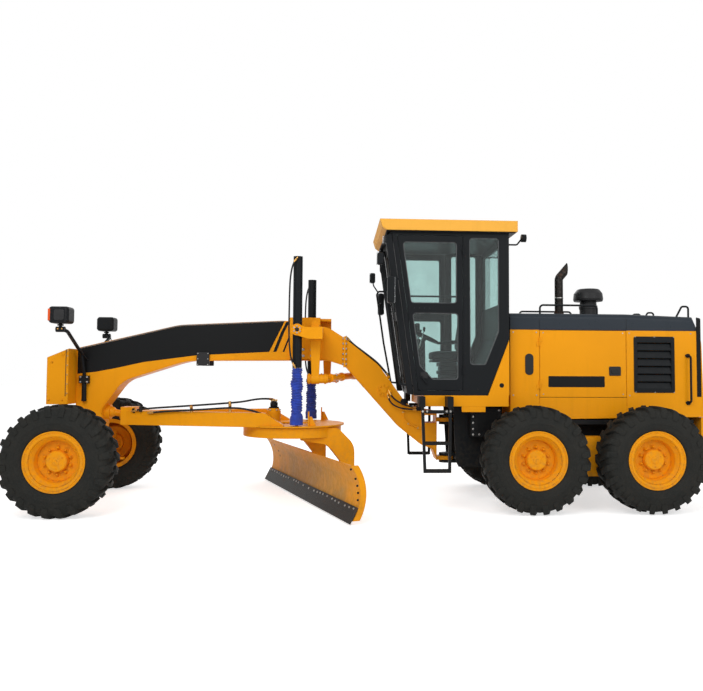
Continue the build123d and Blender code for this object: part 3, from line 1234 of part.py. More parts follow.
def grab_rails():
    """Tubes up the cab's front corners, with the mirrors and lamps on their arms."""
    y = CAB_WIDTH / 2 - 20
    top = CAB_ROOF_Z - 620
    rail = pipe(((cab_front_x(1560) - CAB_WALL / 2, y, 1560), (-300, y, 1580), (-190, y, 2160),
                 (-85, y, top - 50), (-110, y, top), (cab_front_x(top) - CAB_WALL / 2, y, top)), 14, 25)
    rail -= side_plate(CAB_OUTLINE, 0, CAB_WIDTH)
    mirror_arm = bar((-125, y, top - 170), (-160, 955, top - 170), 11)
    mirror_head = Pos(-160, 990, top - 170) * fillet(Box(90, 150, 330).edges(), 30)
    lamp_arm = pipe(((-100, y, top - 10), (-40, y + 60, top + 90), (-30, 955, top + 190)), 10, 30)
    lamp_head = Pos(-30, 965, top + 225) * fillet(Box(80, 110, 150).edges(), 22)
    return both_sides(rail + mirror_arm + mirror_head + lamp_arm + lamp_head)


def hand_rails():
    return hood_rails() + grab_rails()


def side_boxes():
    """The tank and battery boxes behind the hitch, under the cab."""
    edge = RAIL_Y + FRAME_RAIL_WIDTH / 2 + 20
    return both_sides(block(-1640, -1240, edge, 620, 900, 1280))


def write(name, shape):
    export_step(shape, f"parts/{name}.step")


def main():
    os.makedirs("parts", exist_ok=True)
    single = (
        ("rear_frame", rear_frame), ("rear_axle", rear_axle), ("engine", engine), ("hood", hood),
        ("grilles", grilles), ("exhaust", exhaust),
        ("precleaner", precleaner), ("rear_bumper", rear_bumper), ("hood_sills", hood_sills),
        ("hand_rails", hand_rails), ("cab_frame", cab_frame),
        ("cab_glass", cab_glass), ("cab_roof", cab_roof), ("cab_base", cab_base), ("seat", seat),
        ("console", console), ("ladders", ladders),
        ("side_boxes", side_boxes), ("front_frame", front_frame), ("nose_block", nose_block),
        ("headlamps", headlamps), ("saddle", saddle), ("shift_linkage", shift_linkage),
        ("shift_cylinder", shift_cylinder), ("front_axle", front_axle), ("drawbar", drawbar),
        ("circle", circle), ("blade_carrier", blade_carrier), ("moldboard", moldboard),
        ("cutting_edge", cutting_edge),
    )
    for name, make in single:
        write(name, make())
    paired = (
        ("engine_door", engine_door), ("cab_door", cab_door), ("door_glass", door_glass),
        ("tandem", tandem), ("lean_yoke", lean_yoke), ("knuckle", knuckle),
    )
    for name, make in paired:
        left = make()
        for letter, side in SIDES:
            write(f"{name}_{letter}", other_side(left, side))
    for letter, side in SIDES:
        write(f"lift_barrel_{letter}", other_side(lift_barrel(side), side))
        write(f"lift_rod_{letter}", other_side(lift_rod(side), side))
        write(f"lift_bellows_{letter}", other_side(lift_bellows(side), side))
    one_tyre, one_rim = tyre(), rim()
    for name, x, side in WHEELS:
        place = Pos(x, side * WHEEL_Y, TYRE_RADIUS)
        write(f"tyre_{name}", place * other_side(one_tyre, side))
        write(f"rim_{name}", place * other_side(one_rim, side))


main()
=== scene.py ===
import json
import math

import bmesh
import bpy
from mathutils import Matrix, Vector


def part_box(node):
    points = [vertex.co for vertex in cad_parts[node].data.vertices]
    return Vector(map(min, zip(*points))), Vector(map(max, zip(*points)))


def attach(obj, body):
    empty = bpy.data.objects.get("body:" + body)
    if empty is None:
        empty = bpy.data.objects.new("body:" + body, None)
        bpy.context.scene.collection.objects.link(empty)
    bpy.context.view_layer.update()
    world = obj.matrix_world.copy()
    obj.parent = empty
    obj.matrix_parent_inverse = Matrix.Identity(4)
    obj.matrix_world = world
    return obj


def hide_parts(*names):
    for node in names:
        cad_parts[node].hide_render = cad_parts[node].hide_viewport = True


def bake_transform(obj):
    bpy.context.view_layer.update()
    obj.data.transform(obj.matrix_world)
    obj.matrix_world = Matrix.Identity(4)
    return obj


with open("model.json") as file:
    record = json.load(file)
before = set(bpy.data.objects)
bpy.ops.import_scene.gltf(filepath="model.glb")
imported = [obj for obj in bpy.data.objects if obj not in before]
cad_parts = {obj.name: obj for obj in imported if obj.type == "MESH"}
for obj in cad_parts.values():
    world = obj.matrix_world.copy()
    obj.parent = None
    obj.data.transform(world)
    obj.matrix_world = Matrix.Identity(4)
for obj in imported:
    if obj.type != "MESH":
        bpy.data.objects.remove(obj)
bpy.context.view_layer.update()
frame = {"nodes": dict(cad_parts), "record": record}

# Camera, as solved from the photograph: place in metres; yaw, pitch and roll in degrees
CAMERA_PLACE = (0.525, 9.913, 1.758)
CAMERA_AIM = (-3.58, 2.77, 0.30)
CAMERA_LENS = 36.81
CAMERA_SHIFT = (-0.0412, -0.0144)

# Colours, linear
YELLOW = (0.905, 0.352, 0.006)
# Rims: a little darker than the body's yellow, painted shade in the dished wheels
RIM_YELLOW_SHADED = (0.880, 0.335, 0.005)
# Roof: a paler yellow than the body's, painted light falling on the roof from above
LIT_ROOF_YELLOW = (0.905, 0.451, 0.067)
BLACK = (0.010, 0.0115, 0.013)
PANEL_BLACK = (0.006, 0.0065, 0.007)
SLATE = (0.030, 0.038, 0.048)
RUBBER = (0.016, 0.017, 0.0155)
DUST = (0.20, 0.15, 0.09)
BLUE = (0.006, 0.045, 0.42)

WHEELS = ("front_l", "front_r", "mid_l", "mid_r", "rear_l", "rear_r")
SIDES = (("l", 1), ("r", -1))
LUGS = 24

# The lift cylinders' places and the blade's place and arc, in metres
LIFT_X = {"l": 1.015, "r": 0.870}
LIFT_Y = {"l": 0.620, "r": -0.620}
BLADE_YAW = math.radians(20.4)
BLADE_TURN = Matrix.Translation((1.1, 0, 0)) @ Matrix.Rotation(BLADE_YAW, 4, "Z")
BLADE_RADIUS, BLADE_CENTRE_X, BLADE_MID_Z = 0.51375, 0.28175, 0.345

# Side faces that the trim sits on, in millimetres from the middle
BEAM_SIDE, NECK_SIDE, NOSE_SIDE, CAB_SIDE, HOOD_SIDE, BOX_SIDE = 160, 150, 450, 780, 620, 620

# Strengths of the world as a light and as a background, and of the floor as a background
WORLD_LIGHT, WORLD_SEEN, FLOOR_SEEN = 0.48, 1.0, 0.60


def at(x, y, z):
    """A point given in millimetres."""
    return Vector((x, y, z)) / 1000


def middle(node):
    low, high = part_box(node)
    return (low + high) / 2


# Materials
def new_material(name):
    """A material, its node tree, its shader and the object's own coordinates."""
    material = bpy.data.materials.new(name)
    material.use_nodes = True
    tree = material.node_tree
    where = add(tree, "ShaderNodeTexCoord").outputs["Object"]
    return material, tree, tree.nodes["Principled BSDF"], where


def connect(tree, value, socket):
    """An input fed by another socket, or set to a value or a colour."""
    if isinstance(value, bpy.types.NodeSocket):
        tree.links.new(value, socket)
    elif socket.type == "RGBA":
        socket.default_value = (*value, 1)
    else:
        socket.default_value = value


def feed(tree, node, **values):
    """A node's properties and, by name, its inputs."""
    for key, value in values.items():
        if hasattr(node, key):
            setattr(node, key, value)
        else:
            connect(tree, value, node.inputs[key.replace("_", " ")])
    return node


def add(tree, kind, **values):
    return feed(tree, tree.nodes.new(kind), **values)


def mapped(tree, source, scale=(1, 1, 1), turn=0.0):
    return add(tree, "ShaderNodeMapping", Vector=source, Rotation=(0, 0, turn), Scale=scale).outputs[0]


def noise(tree, source, scale, detail=3.0, roughness=0.55):
    return add(tree, "ShaderNodeTexNoise", Vector=source, Scale=scale, Detail=detail,
               Roughness=roughness).outputs["Fac"]


def height(tree, source):
    return add(tree, "ShaderNodeSeparateXYZ", Vector=source).outputs["Z"]


def calculate(tree, operation, a, b=None, clamp=False):
    node = add(tree, "ShaderNodeMath", operation=operation, use_clamp=clamp)
    connect(tree, a, node.inputs[0])
    if b is not None:
        connect(tree, b, node.inputs[1])
    return node.outputs[0]


def times(tree, a, b):
    return calculate(tree, "MULTIPLY", a, b)


def ramp(tree, source, low, high, to_low=0.0, to_high=1.0):
    """source from low to high mapped onto to_low to to_high."""
    node = add(tree, "ShaderNodeMapRange")
    for socket, value in zip(node.inputs, (source, low, high, to_low, to_high)):
        connect(tree, value, socket)
    return node.outputs[0]


def mix(tree, factor, a, b, mode="MIX"):
    node = add(tree, "ShaderNodeMix", data_type="RGBA", blend_type=mode)
    for i, value in ((0, factor), (6, a), (7, b)):
        connect(tree, value, node.inputs[i])
    return node.outputs[2]


def softened(tree, width):
    """The normal with every edge rounded by width."""
    return add(tree, "ShaderNodeBevel", samples=4, Radius=width).outputs[0]


def edge_mask(tree, soft):
    """1 along sharp edges, 0 on flat faces."""
    dot = add(tree, "ShaderNodeVectorMath", operation="DOT_PRODUCT")
    connect(tree, soft, dot.inputs[0])
    connect(tree, add(tree, "ShaderNodeNewGeometry").outputs["Normal"], dot.inputs[1])
    return ramp(tree, dot.outputs["Value"], 0.985, 0.85)


def bump(tree, shader, source, distance, strength, soft=None):
    node = add(tree, "ShaderNodeBump", Height=source, Strength=strength, Distance=distance)
    if soft is not None:
        feed(tree, node, Normal=soft)
    feed(tree, shader, Normal=node.outputs["Normal"])


def paint(name, colour, roughness=0.36, dust=0.28, chips=(0.13, 0.07, 0.035), wear=0.4, specular=0.10,
          layers=None):
    """Sprayed paint: slow colour drift, orange peel, worn edges, streaks, and dust low down."""
    material, tree, shader, where = new_material(name)
    slow = noise(tree, where, 0.9)
    fine = noise(tree, where, 22, 5)
    base = colour if layers is None else layers(tree, where, colour)
    streaks = noise(tree, mapped(tree, where, (5, 5, 0.5)), 2.2, 4)
    drift = times(tree, ramp(tree, slow, 0.3, 0.7, 0.94, 1.04), ramp(tree, streaks, 0.55, 0.8, 1.0, 0.93))
    tone = add(tree, "ShaderNodeCombineColor", Red=drift, Green=drift, Blue=drift)
    coloured = mix(tree, 1.0, base, tone.outputs[0], "MULTIPLY")
    low = ramp(tree, height(tree, where), 1.35, 0.1)
    patchy = ramp(tree, fine, 0.42, 0.68)
    dusty = times(tree, times(tree, low, patchy), dust)
    coloured = mix(tree, dusty, coloured, DUST)
    soft = softened(tree, 0.007)
    chipped = times(tree, edge_mask(tree, soft), ramp(tree, fine, 0.5, 0.62))
    coloured = mix(tree, times(tree, chipped, wear), coloured, chips)
    rough = ramp(tree, fine, 0.3, 0.7, roughness - 0.04, roughness + 0.08)
    feed(tree, shader, Base_Color=coloured, Roughness=calculate(tree, "ADD", rough, dusty),
         Specular_IOR_Level=specular)
    bump(tree, shader, noise(tree, where, 240, 2), 0.0006, 0.12, soft)
    return material


def banded(limit, other):
    """A second colour above a height, for paint()."""
    def layers(tree, where, colour):
        above = calculate(tree, "GREATER_THAN", height(tree, where), limit)
        return mix(tree, above, colour, other)
    return layers


def scoured(tree, where, colour):
    """The blade's paint, worn to tan along the middle of its face and stained below, for paint()."""
    blade = add(tree, "ShaderNodeSeparateXYZ", Vector=mapped(tree, where, turn=-BLADE_YAW))
    along = calculate(tree, "ABSOLUTE", calculate(tree, "SUBTRACT", blade.outputs["Y"], -0.30))
    scratch = noise(tree, mapped(tree, where, (9, 9, 0.7)), 6, 6, 0.7)
    patches = noise(tree, where, 2.6, 5, 0.6)
    ends = ramp(tree, along, 1.75, 0.9)
    band = times(tree, ramp(tree, height(tree, where), 0.70, 0.50), ends)
    worn = calculate(tree, "ADD", band, ramp(tree, patches, 0.3, 0.7, -0.35, 0.35), clamp=True)
    tan = mix(tree, ramp(tree, scratch, 0.38, 0.62), (0.60, 0.30, 0.042), (0.45, 0.205, 0.024))
    tan = mix(tree, ramp(tree, patches, 0.58, 0.72, 0, 0.5), tan, (0.62, 0.39, 0.12))
    coloured = mix(tree, worn, colour, tan)
    stain = times(tree, ramp(tree, height(tree, where), 0.42, 0.2),
                  ramp(tree, patches, 0.45, 0.65, 0.0, 0.35))
    return mix(tree, stain, coloured, (0.22, 0.11, 0.04))


def rubber(name, colour, dust, scale=60, specular=0.3):
    """Matt rubber with pale dust in patches and a fine grain."""
    material, tree, shader, where = new_material(name)
    patches = noise(tree, where, 5, 5, 0.6)
    grain = noise(tree, where, scale, 4)
    coloured = mix(tree, ramp(tree, patches, 0.35, 0.7, 0, dust), colour, (0.062, 0.056, 0.047))
    coloured = mix(tree, ramp(tree, grain, 0.4, 0.7, 0, 0.25), coloured, (0.045, 0.045, 0.043))
    feed(tree, shader, Base_Color=coloured, Roughness=ramp(tree, patches, 0.3, 0.7, 0.62, 0.82),
         Specular_IOR_Level=specular)
    bump(tree, shader, grain, 0.0012, 0.35, softened(tree, 0.004))
    return material


def metal(name, colour, roughness, grain=(1, 1, 1), rust=0.0):
    """Brushed or cast metal, with rust in patches."""
    material, tree, shader, where = new_material(name)
    streaks = noise(tree, mapped(tree, where, grain), 40, 4)
    patches = noise(tree, where, 6, 6, 0.65)
    dark = tuple(c * 0.6 for c in colour)
    coloured = mix(tree, ramp(tree, streaks, 0.35, 0.65), colour, dark)
    rusty = ramp(tree, patches, 0.62 - 0.3 * rust, 0.75 - 0.2 * rust, 0, min(1.0, rust * 1.6))
    coloured = mix(tree, rusty, coloured, (0.16, 0.06, 0.022))
    rough = ramp(tree, streaks, 0.3, 0.7, roughness * 0.8, roughness * 1.25)
    rough = calculate(tree, "ADD", rough, times(tree, rusty, 0.35))
    feed(tree, shader, Base_Color=coloured, Metallic=ramp(tree, rusty, 0, 1, 1.0, 0.25), Roughness=rough)
    bump(tree, shader, streaks, 0.0008, 0.25, softened(tree, 0.003))
    return material


def glass(name, tint, roughness=0.0):
    """Tinted glass, a little smeared."""
    material, tree, shader, where = new_material(name)
    smear = noise(tree, where, 3, 4)
    coloured = mix(tree, ramp(tree, smear, 0.3, 0.7), tint, tuple(c * 0.9 for c in tint))
    rough = ramp(tree, smear, 0.45, 0.75, roughness, roughness + 0.04)
    feed(tree, shader, Base_Color=coloured, Roughness=rough, Transmission_Weight=1.0, IOR=1.45)
    return material


def plastic(name, colour, roughness=0.45, specular=0.35):
    """Moulded plastic with a fine grain, paler where it is worn."""
    material, tree, shader, where = new_material(name)
    grain = noise(tree, where, 180, 3)
    slow = noise(tree, where, 4, 4)
    lighter = tuple(c * 1.8 + 0.004 for c in colour)
    coloured = mix(tree, ramp(tree, slow, 0.35, 0.7, 0, 0.35), colour, lighter)
    rough = ramp(tree, slow, 0.3, 0.7, roughness - 0.06, roughness + 0.1)
    feed(tree, shader, Base_Color=coloured, Roughness=rough, Specular_IOR_Level=specular)
    bump(tree, shader, grain, 0.0004, 0.3, softened(tree, 0.004))
    return material


def fabric(name, colour):
    """Woven cloth, faded and dusty in patches."""
    material, tree, shader, where = new_material(name)
    slow = noise(tree, where, 9, 5)
    threads = add(tree, "ShaderNodeTexWave", Vector=where, Scale=150, Distortion=1.5)
    coloured = mix(tree, ramp(tree, slow, 0.3, 0.7), colour, tuple(c * 0.6 for c in colour))
    coloured = mix(tree, ramp(tree, slow, 0.62, 0.75, 0, 0.2), coloured, DUST)
    feed(tree, shader, Base_Color=coloured, Roughness=0.72, Sheen_Weight=0.2)
    bump(tree, shader, threads.outputs["Fac"], 0.0006, 0.3)
    return material


MATERIALS = {
    "yellow_paint": paint("yellow paint", YELLOW),
    # The rims' darker yellow is painted shade in the wheels' dish
    "rim_paint": paint("rim paint", RIM_YELLOW_SHADED, dust=0.34),
    # The roof's paler yellow is painted light from above
    "roof_paint": paint("roof paint, painted light", LIT_ROOF_YELLOW, roughness=0.5, dust=0.1),
    "black_paint": paint("black paint", BLACK, roughness=0.42, wear=0.2, chips=(0.05, 0.05, 0.05),
                         dust=0.12),
    "panel_black": paint("panel black", PANEL_BLACK, roughness=0.4, wear=0.15, chips=(0.04, 0.04, 0.04),
                         specular=0.12, dust=0.05),
    "slate_paint": paint("slate paint", SLATE, roughness=0.35, dust=0.1, specular=0.12),
    "hood_paint": paint("hood paint", YELLOW, layers=banded(2.300, SLATE), roughness=0.3),
    "worn_steel": paint("blade paint", YELLOW, roughness=0.4, layers=scoured, dust=0.1),
    # Grey for the strip along the beam's top edge: a painted highlight
    "beam_highlight_strip": paint("beam highlight strip", (0.16, 0.165, 0.17), roughness=0.4, dust=0.1),
    "seal_brown": rubber("joint sealer", (0.10, 0.05, 0.02), 0.1, 90),
    "dark_steel": metal("dark steel", (0.035, 0.032, 0.03), 0.55, rust=0.25),
    "tyre_rubber": rubber("tyre rubber", RUBBER, 0.25, specular=0.10),
    "window_glass": glass("window glass", (0.62, 0.78, 0.76)),
    "blue_fabric": fabric("blue fabric", BLUE),
    "edge_steel": metal("edge steel", (0.058, 0.056, 0.053), 0.55, grain=(6, 6, 1), rust=0.2),
    "chrome": metal("chrome", (0.75, 0.75, 0.76), 0.12),
    "black_plastic": plastic("black plastic", (0.012, 0.012, 0.013), specular=0.25),
    "textured_plastic": plastic("textured plastic", (0.018, 0.019, 0.020), 0.6, 0.2),
    "lamp_plastic": plastic("lamp plastic", (0.012, 0.012, 0.013), 0.3),
    "hose": rubber("hose rubber", (0.010, 0.010, 0.011), 0.12, 300, 0.25),
    # Window seals: a lighter grey than black rubber, as a painted highlight along the seals
    "seal_rubber_painted_highlight": plastic("window seal, painted highlight", (0.055, 0.060, 0.062), 0.3, 0.5),
    "brass": metal("brass", (0.66, 0.36, 0.10), 0.3),
    "zinc": metal("zinc", (0.46, 0.45, 0.43), 0.35),
    "orange_lens": plastic("orange lens", (0.75, 0.09, 0.008), 0.15),
    "lamp_lens": glass("lamp lens", (0.85, 0.88, 0.88), 0.03),
    "mirror_glass": metal("mirror glass", (0.8, 0.82, 0.84), 0.04),
    "seat_cloth": fabric("seat cloth", (0.020, 0.021, 0.024)),
}

# Nodes with a finish of their own, apart from their slot's
FINISHES = {"hood": "hood_paint"}
for wheel in WHEELS:
    FINISHES["rim_" + wheel] = "rim_paint"


def dress_all():
    """Each node gets its slot's material, or its own finish."""
    for part in frame["record"]["subparts"]:
        node = part["node"]
        data = frame["nodes"][node].data
        data.materials.clear()
        data.materials.append(MATERIALS[FINISHES.get(node, part["material_slot"])])
        for polygon in data.polygons:
            polygon.material_index = 0


# Mesh building
def placed(name, data):
    """A new object in the scene."""
    piece = bpy.data.objects.new(name, data)
    bpy.context.scene.collection.objects.link(piece)
    return piece


def dressed(name, data, material, body):
    """A piece of the object with its material, which rides on body."""
    piece = placed(name, data)
    data.materials.append(MATERIALS[material])
    if body:
        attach(piece, body)
    return piece


def finished(name, bm, material, body, angle, bevel=0.0):
    """A piece from bm, sharp at edges over angle degrees and bevelled where asked."""
    data = bpy.data.meshes.new(name)
    bmesh.ops.recalc_face_normals(bm, faces=bm.faces)
    bm.to_mesh(data)
    bm.free()
    data.shade_smooth()
    data.set_sharp_from_angle(angle=math.radians(angle))
    piece = dressed(name, data, material, body)
    if bevel:
        modifier = piece.modifiers.new("bevel", "BEVEL")
        modifier.width = bevel
        modifier.segments = 2
        modifier.limit_method = "ANGLE"
        modifier.angle_limit = math.radians(40)
    return piece


def box_into(bm, low, high):
    """A box between two corners, in metres."""
    corners = [Vector((x, y, z)) for x in (low[0], high[0]) for y in (low[1], high[1])
               for z in (low[2], high[2])]
    v = [bm.verts.new(corner) for corner in corners]
    for a, b, c, d in ((0, 1, 3, 2), (4, 6, 7, 5), (0, 4, 5, 1), (2, 3, 7, 6), (0, 2, 6, 4), (1, 5, 7, 3)):
        bm.faces.new((v[a], v[b], v[c], v[d]))


def aimed(place, axis):
    """A matrix that takes local Z to axis at place."""
    turn = Vector(axis).to_track_quat("Z", "Y").to_matrix().to_4x4()
    return Matrix.Translation(place) @ turn


def lathe_into(bm, profile, steps, place):
    """A profile of (radius, height) turned about local Z, closed at both ends, then placed by a matrix."""
    rings = []
    for i in range(steps):
        a = 2 * math.pi * i / steps
        c, s = math.cos(a), math.sin(a)
        rings.append([bm.verts.new(place @ Vector((r * c, r * s, h))) for r, h in profile])
    for one, two in zip(rings, rings[1:] + rings[:1]):
        for j in range(len(profile) - 1):
            bm.faces.new((one[j], two[j], two[j + 1], one[j + 1]))
    for j in (0, -1):
        bm.faces.new([row[j] for row in rings])


def rounded(points):
    """Corners (x, z) or (x, z, radius) in millimetres as a closed line with rounded corners, in metres."""
    corners = [(Vector(p[:2]) / 1000, (p[2] if len(p) > 2 else 0) / 1000) for p in points]
    steps, line = 6, []
    for i, (corner, radius) in enumerate(corners):
        if not radius:
            line.append(corner)
            continue
        a = (corners[i - 1][0] - corner).normalized()
        b = (corners[(i + 1) % len(corners)][0] - corner).normalized()
        half = a.angle(b) / 2
        centre = corner + (a + b).normalized() * radius / math.sin(half)
        start, end = (corner + side * radius / math.tan(half) for side in (a, b))
        for k in range(steps + 1):
            line.append(centre + (start.lerp(end, k / steps) - centre).normalized() * radius)
    return line


def rectangle(x0, x1, z0, z1, radius):
    """The corner table of an upright rectangle with rounded corners."""
    return ((x0, z0, radius), (x1, z0, radius), (x1, z1, radius), (x0, z1, radius))


def plate_into(bm, outline, y0, y1):
    """An outline in the x-z plane as a plate from y0 to y1, in metres."""
    loops = [[bm.verts.new((p.x, y, p.y)) for p in outline] for y in (y0, y1)]
    bm.faces.new(loops[0])
    bm.faces.new(loops[1])
    for i in range(len(outline)):
        j = i - 1
        bm.faces.new((loops[0][i], loops[0][j], loops[1][j], loops[1][i]))


def plates(name, outlines, y0, y1, material, body, sides=(1, -1), bevel=0):
    """Side plates from corner tables in millimetres, from y0 to y1 on the given sides."""
    bm = bmesh.new()
    for side in sides:
        for points in outlines:
            plate_into(bm, rounded(points), side * y0 / 1000, side * y1 / 1000)
    return finished(name, bm, material, body, 30, bevel / 1000)


def tube_object(name, points, radius, material, body, smooth=True, cyclic=False):
    """A round tube along points, as a curve piece."""
    data = bpy.data.curves.new(name, "CURVE")
    data.dimensions = "3D"
    data.bevel_depth = radius
    data.bevel_resolution = 3
    data.use_fill_caps = True
    spline = data.splines.new("NURBS" if smooth else "POLY")
    spline.points.add(len(points) - 1)
    for target, p in zip(spline.points, points):
        target.co = (*p, 1)
    if smooth:
        spline.order_u = 3
        spline.use_endpoint_u = True
        spline.resolution_u = 8
    spline.use_cyclic_u = cyclic
    return dressed(name, data, material, body)


def rods(name, runs, material, body, sides=(1, -1), steps=16):
    """Straight round bars from a table of (from, to, radius) in millimetres, on the given sides."""
    bm = bmesh.new()
    for side in sides:
        for one, two, radius in runs:
            a, b = (at(x, side * y, z) for x, y, z in (one, two))
            span, r = (b - a).length, radius / 1000
            c = min(r * 0.2, span * 0.2)
            lathe_into(bm, ((r - c, 0), (r, c), (r, span - c), (r - c, span)), steps, aimed(a, b - a))
    return finished(name, bm, material, body, 40)


def bolt_into(bm, place, axis, radius, height):
    """A washer and a hexagon head with a domed top."""
    turn = aimed(place, axis)
    lathe_into(bm, ((radius * 1.35, -0.002), (radius * 1.35, height * 0.16), (radius * 1.2, height * 0.2)),
               14, turn)
    lathe_into(bm, ((radius, height * 0.1), (radius, height * 0.8), (radius * 0.84, height),
                    (radius * 0.3, height * 1.08)), 6, turn)


def bolts(name, places, radius, height, material, body, sides=(1, -1), axis=(0, 1, 0)):
    """Bolts from places in millimetres, mirrored to the given sides, their heads along axis."""
    bm = bmesh.new()
    for side in sides:
        way = (axis[0], side * axis[1], axis[2])
        for x, y, z in places:
            bolt_into(bm, at(x, side * y, z), way, radius / 1000, height / 1000)
    return finished(name, bm, material, body, 20)


def boxes(name, corners, material, body, sides=(1, -1), bevel=0):
    """Boxes from a table of (low, high) corners in millimetres, mirrored to the given sides."""
    bm = bmesh.new()
    for side in sides:
        for low, high in corners:
            y0, y1 = sorted((side * low[1], side * high[1]))
            box_into(bm, at(low[0], y0, low[2]), at(high[0], y1, high[2]))
    return finished(name, bm, material, body, 30, bevel / 1000)


def grid(xs, y, zs):
    return [(x, y, z) for x in xs for z in zs]


def ring(centre, radius, count, start=0.0, flat=False):
    """Places round a centre, from start steps on, in the x-z plane or, if flat, in the x-y plane."""
    places = []
    for i in range(count):
        a = 2 * math.pi * (i + start) / count
        across, up = radius * math.cos(a), radius * math.sin(a)
        places.append(Vector(centre) + Vector((across, up, 0) if flat else (across, 0, up)))
    return places


# Tyres and wheels
def tyre_mesh(centre):
    """A lugged tyre about the Y axis; each lug's outer end trails at the top."""
    profile = (
        (0.320, 0.176), (0.345, 0.179), (0.366, 0.181), (0.374, 0.196), (0.392, 0.207), (0.430, 0.217),
        (0.450, 0.2195), (0.454, 0.2222), (0.462, 0.2222), (0.466, 0.2205), (0.520, 0.2185), (0.565, 0.211),
        (0.600, 0.194), (0.624, 0.160), (0.632, 0.10), (0.634, 0.0),
    )
    outline = list(profile) + [(r, -h) for r, h in reversed(profile[:-1])]
    bm = bmesh.new()
    steps = 120

    def vertex(r, h, a):
        return bm.verts.new(centre + Vector((r * math.sin(a), h, r * math.cos(a))))

    rings = [[vertex(r, h, 2 * math.pi * i / steps) for r, h in outline] for i in range(steps)]
    for one, two in zip(rings, rings[1:] + rings[:1]):
        for j in range(len(outline)):
            k = j - 1
            bm.faces.new((one[k], two[k], two[j], one[j]))
    pitch = 2 * math.pi / LUGS
    # Across the tyre: distance from the middle, lead in pitches, top radius, width
    stations = ((0.008, 0.0, 0.664, 0.050), (0.080, 0.19, 0.664, 0.055), (0.150, 0.37, 0.662, 0.062),
                (0.194, 0.49, 0.645, 0.070), (0.2140, 0.54, 0.608, 0.074), (0.2222, 0.56, 0.572, 0.062))
    for half in (1, -1):
        for i in range(LUGS):
            start = (i + (0.5 if half < 0 else 0)) * pitch
            rows = []
            for h, lead, top, width in stations:
                corners = ((-1.25, top - 0.045), (-1, top), (1, top), (1.25, top - 0.045))
                rows.append([vertex(r, half * h, start - lead * pitch + t * width / 1.33)
                             for t, r in corners])
            for one, two in zip(rows, rows[1:]):
                for j in range(3):
                    bm.faces.new((one[j], one[j + 1], two[j + 1], two[j]))
                bm.faces.new((one[3], one[0], two[0], two[3]))
            bm.faces.new(rows[0])
            bm.faces.new(rows[-1])
    return bm


def wheels():
    """Tyres, and on each rim ten domed nuts, a grease cap and a valve."""
    nut_face, nut_circle, hub_face, cap_circle = 0.042, 0.158, 0.114, 0.085
    for wheel in WHEELS:
        body = "wheel_" + wheel
        side = 1 if wheel.endswith("_l") else -1
        centre, out = middle("tyre_" + wheel), Vector((0, side, 0))
        piece = finished("tread_" + wheel, tyre_mesh(centre), "tyre_rubber", body, 32)
        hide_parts("tyre_" + wheel)
        bm = bmesh.new()
        for place in ring(centre + out * nut_face, nut_circle, 10, 0.5):
            turn = aimed(place, out)
            lathe_into(bm, ((0.027, -0.002), (0.027, 0.004), (0.022, 0.008)), 18, turn)
            lathe_into(bm, ((0.019, 0.006), (0.019, 0.022), (0.016, 0.026)), 6, turn)
            lathe_into(bm, ((0.013, 0.024), (0.0125, 0.032), (0.008, 0.039), (0.003, 0.041)), 14, turn)
        finished("nuts_" + wheel, bm, "rim_paint", body, 25)
        bm = bmesh.new()
        hub = centre + out * hub_face
        lathe_into(bm, ((0.046, 0), (0.046, 0.006), (0.040, 0.009), (0.018, 0.010), (0.014, 0.006),
                        (0.003, 0.005)), 28, aimed(hub, out))
        for place in ring(hub, cap_circle, 3, 0.2387):
            bolt_into(bm, place, out, 0.008, 0.008)
        finished("hub_cap_" + wheel, bm, "rim_paint", body, 30)
        bm = bmesh.new()
        valve = centre + Vector((0, side * 0.115, -0.268))
        lathe_into(bm, ((0.007, 0), (0.007, 0.045), (0.004, 0.055)), 10, aimed(valve, (0, side, -0.5)))
        finished("valve_" + wheel, bm, "brass", body, 30)


# Cloth bellows on the lift rods
def bellows():
    """A gathered cloth sleeve from the barrel's end down over the cup."""
    for letter, seed in (("l", 0.4), ("r", 2.9)):
        x, y = LIFT_X[letter], LIFT_Y[letter]
        foot, head = 1.052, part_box("lift_bellows_" + letter)[1].z - 0.002
        rows, steps = 110, 44
        bm = bmesh.new()
        rings = []
        for i in range(rows + 1):
            t = i / rows
            z = foot + (head - foot) * t
            skirt = min(1.0, max(0.0, (1.188 - z) / 0.035))
            row = []
            for j in range(steps):
                a = 2 * math.pi * j / steps
                body = 0.0665 + 0.005 * (1 - t) + 0.003 * math.sin(11 * t + seed)
                fold = 0.0055 * math.sin(2 * a + seed + 19 * t) + 0.0045 * math.sin(3 * a - seed + 37 * t)
                fold += 0.0030 * math.sin(5 * a + 2 * seed + 61 * t)
                pleat = 0.0060 * math.sin(2 * math.pi * t * 21 + 1.3 * math.sin(a * 2 + t * 9 + seed))
                tie = 0.010 * (max(0, 1 - abs(t - 0.975) / 0.02) + max(0, 1 - abs(z - 1.200) / 0.012))
                r = min(0.0845, max(0.050, body + fold + pleat - tie))
                r = r * (1 - skirt) + skirt * (0.0822 + 0.0012 * math.sin(9 * a + seed) + 0.3 * fold)
                row.append(bm.verts.new((x + r * math.cos(a), y + r * math.sin(a), z)))
            rings.append(row)
        for one, two in zip(rings, rings[1:]):
            for j in range(steps):
                k = (j + 1) % steps
                bm.faces.new((one[j], one[k], two[k], two[j]))
        piece = finished("bellows_" + letter, bm, "blue_fabric", None, 180)
        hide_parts("lift_bellows_" + letter)
        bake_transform(piece)


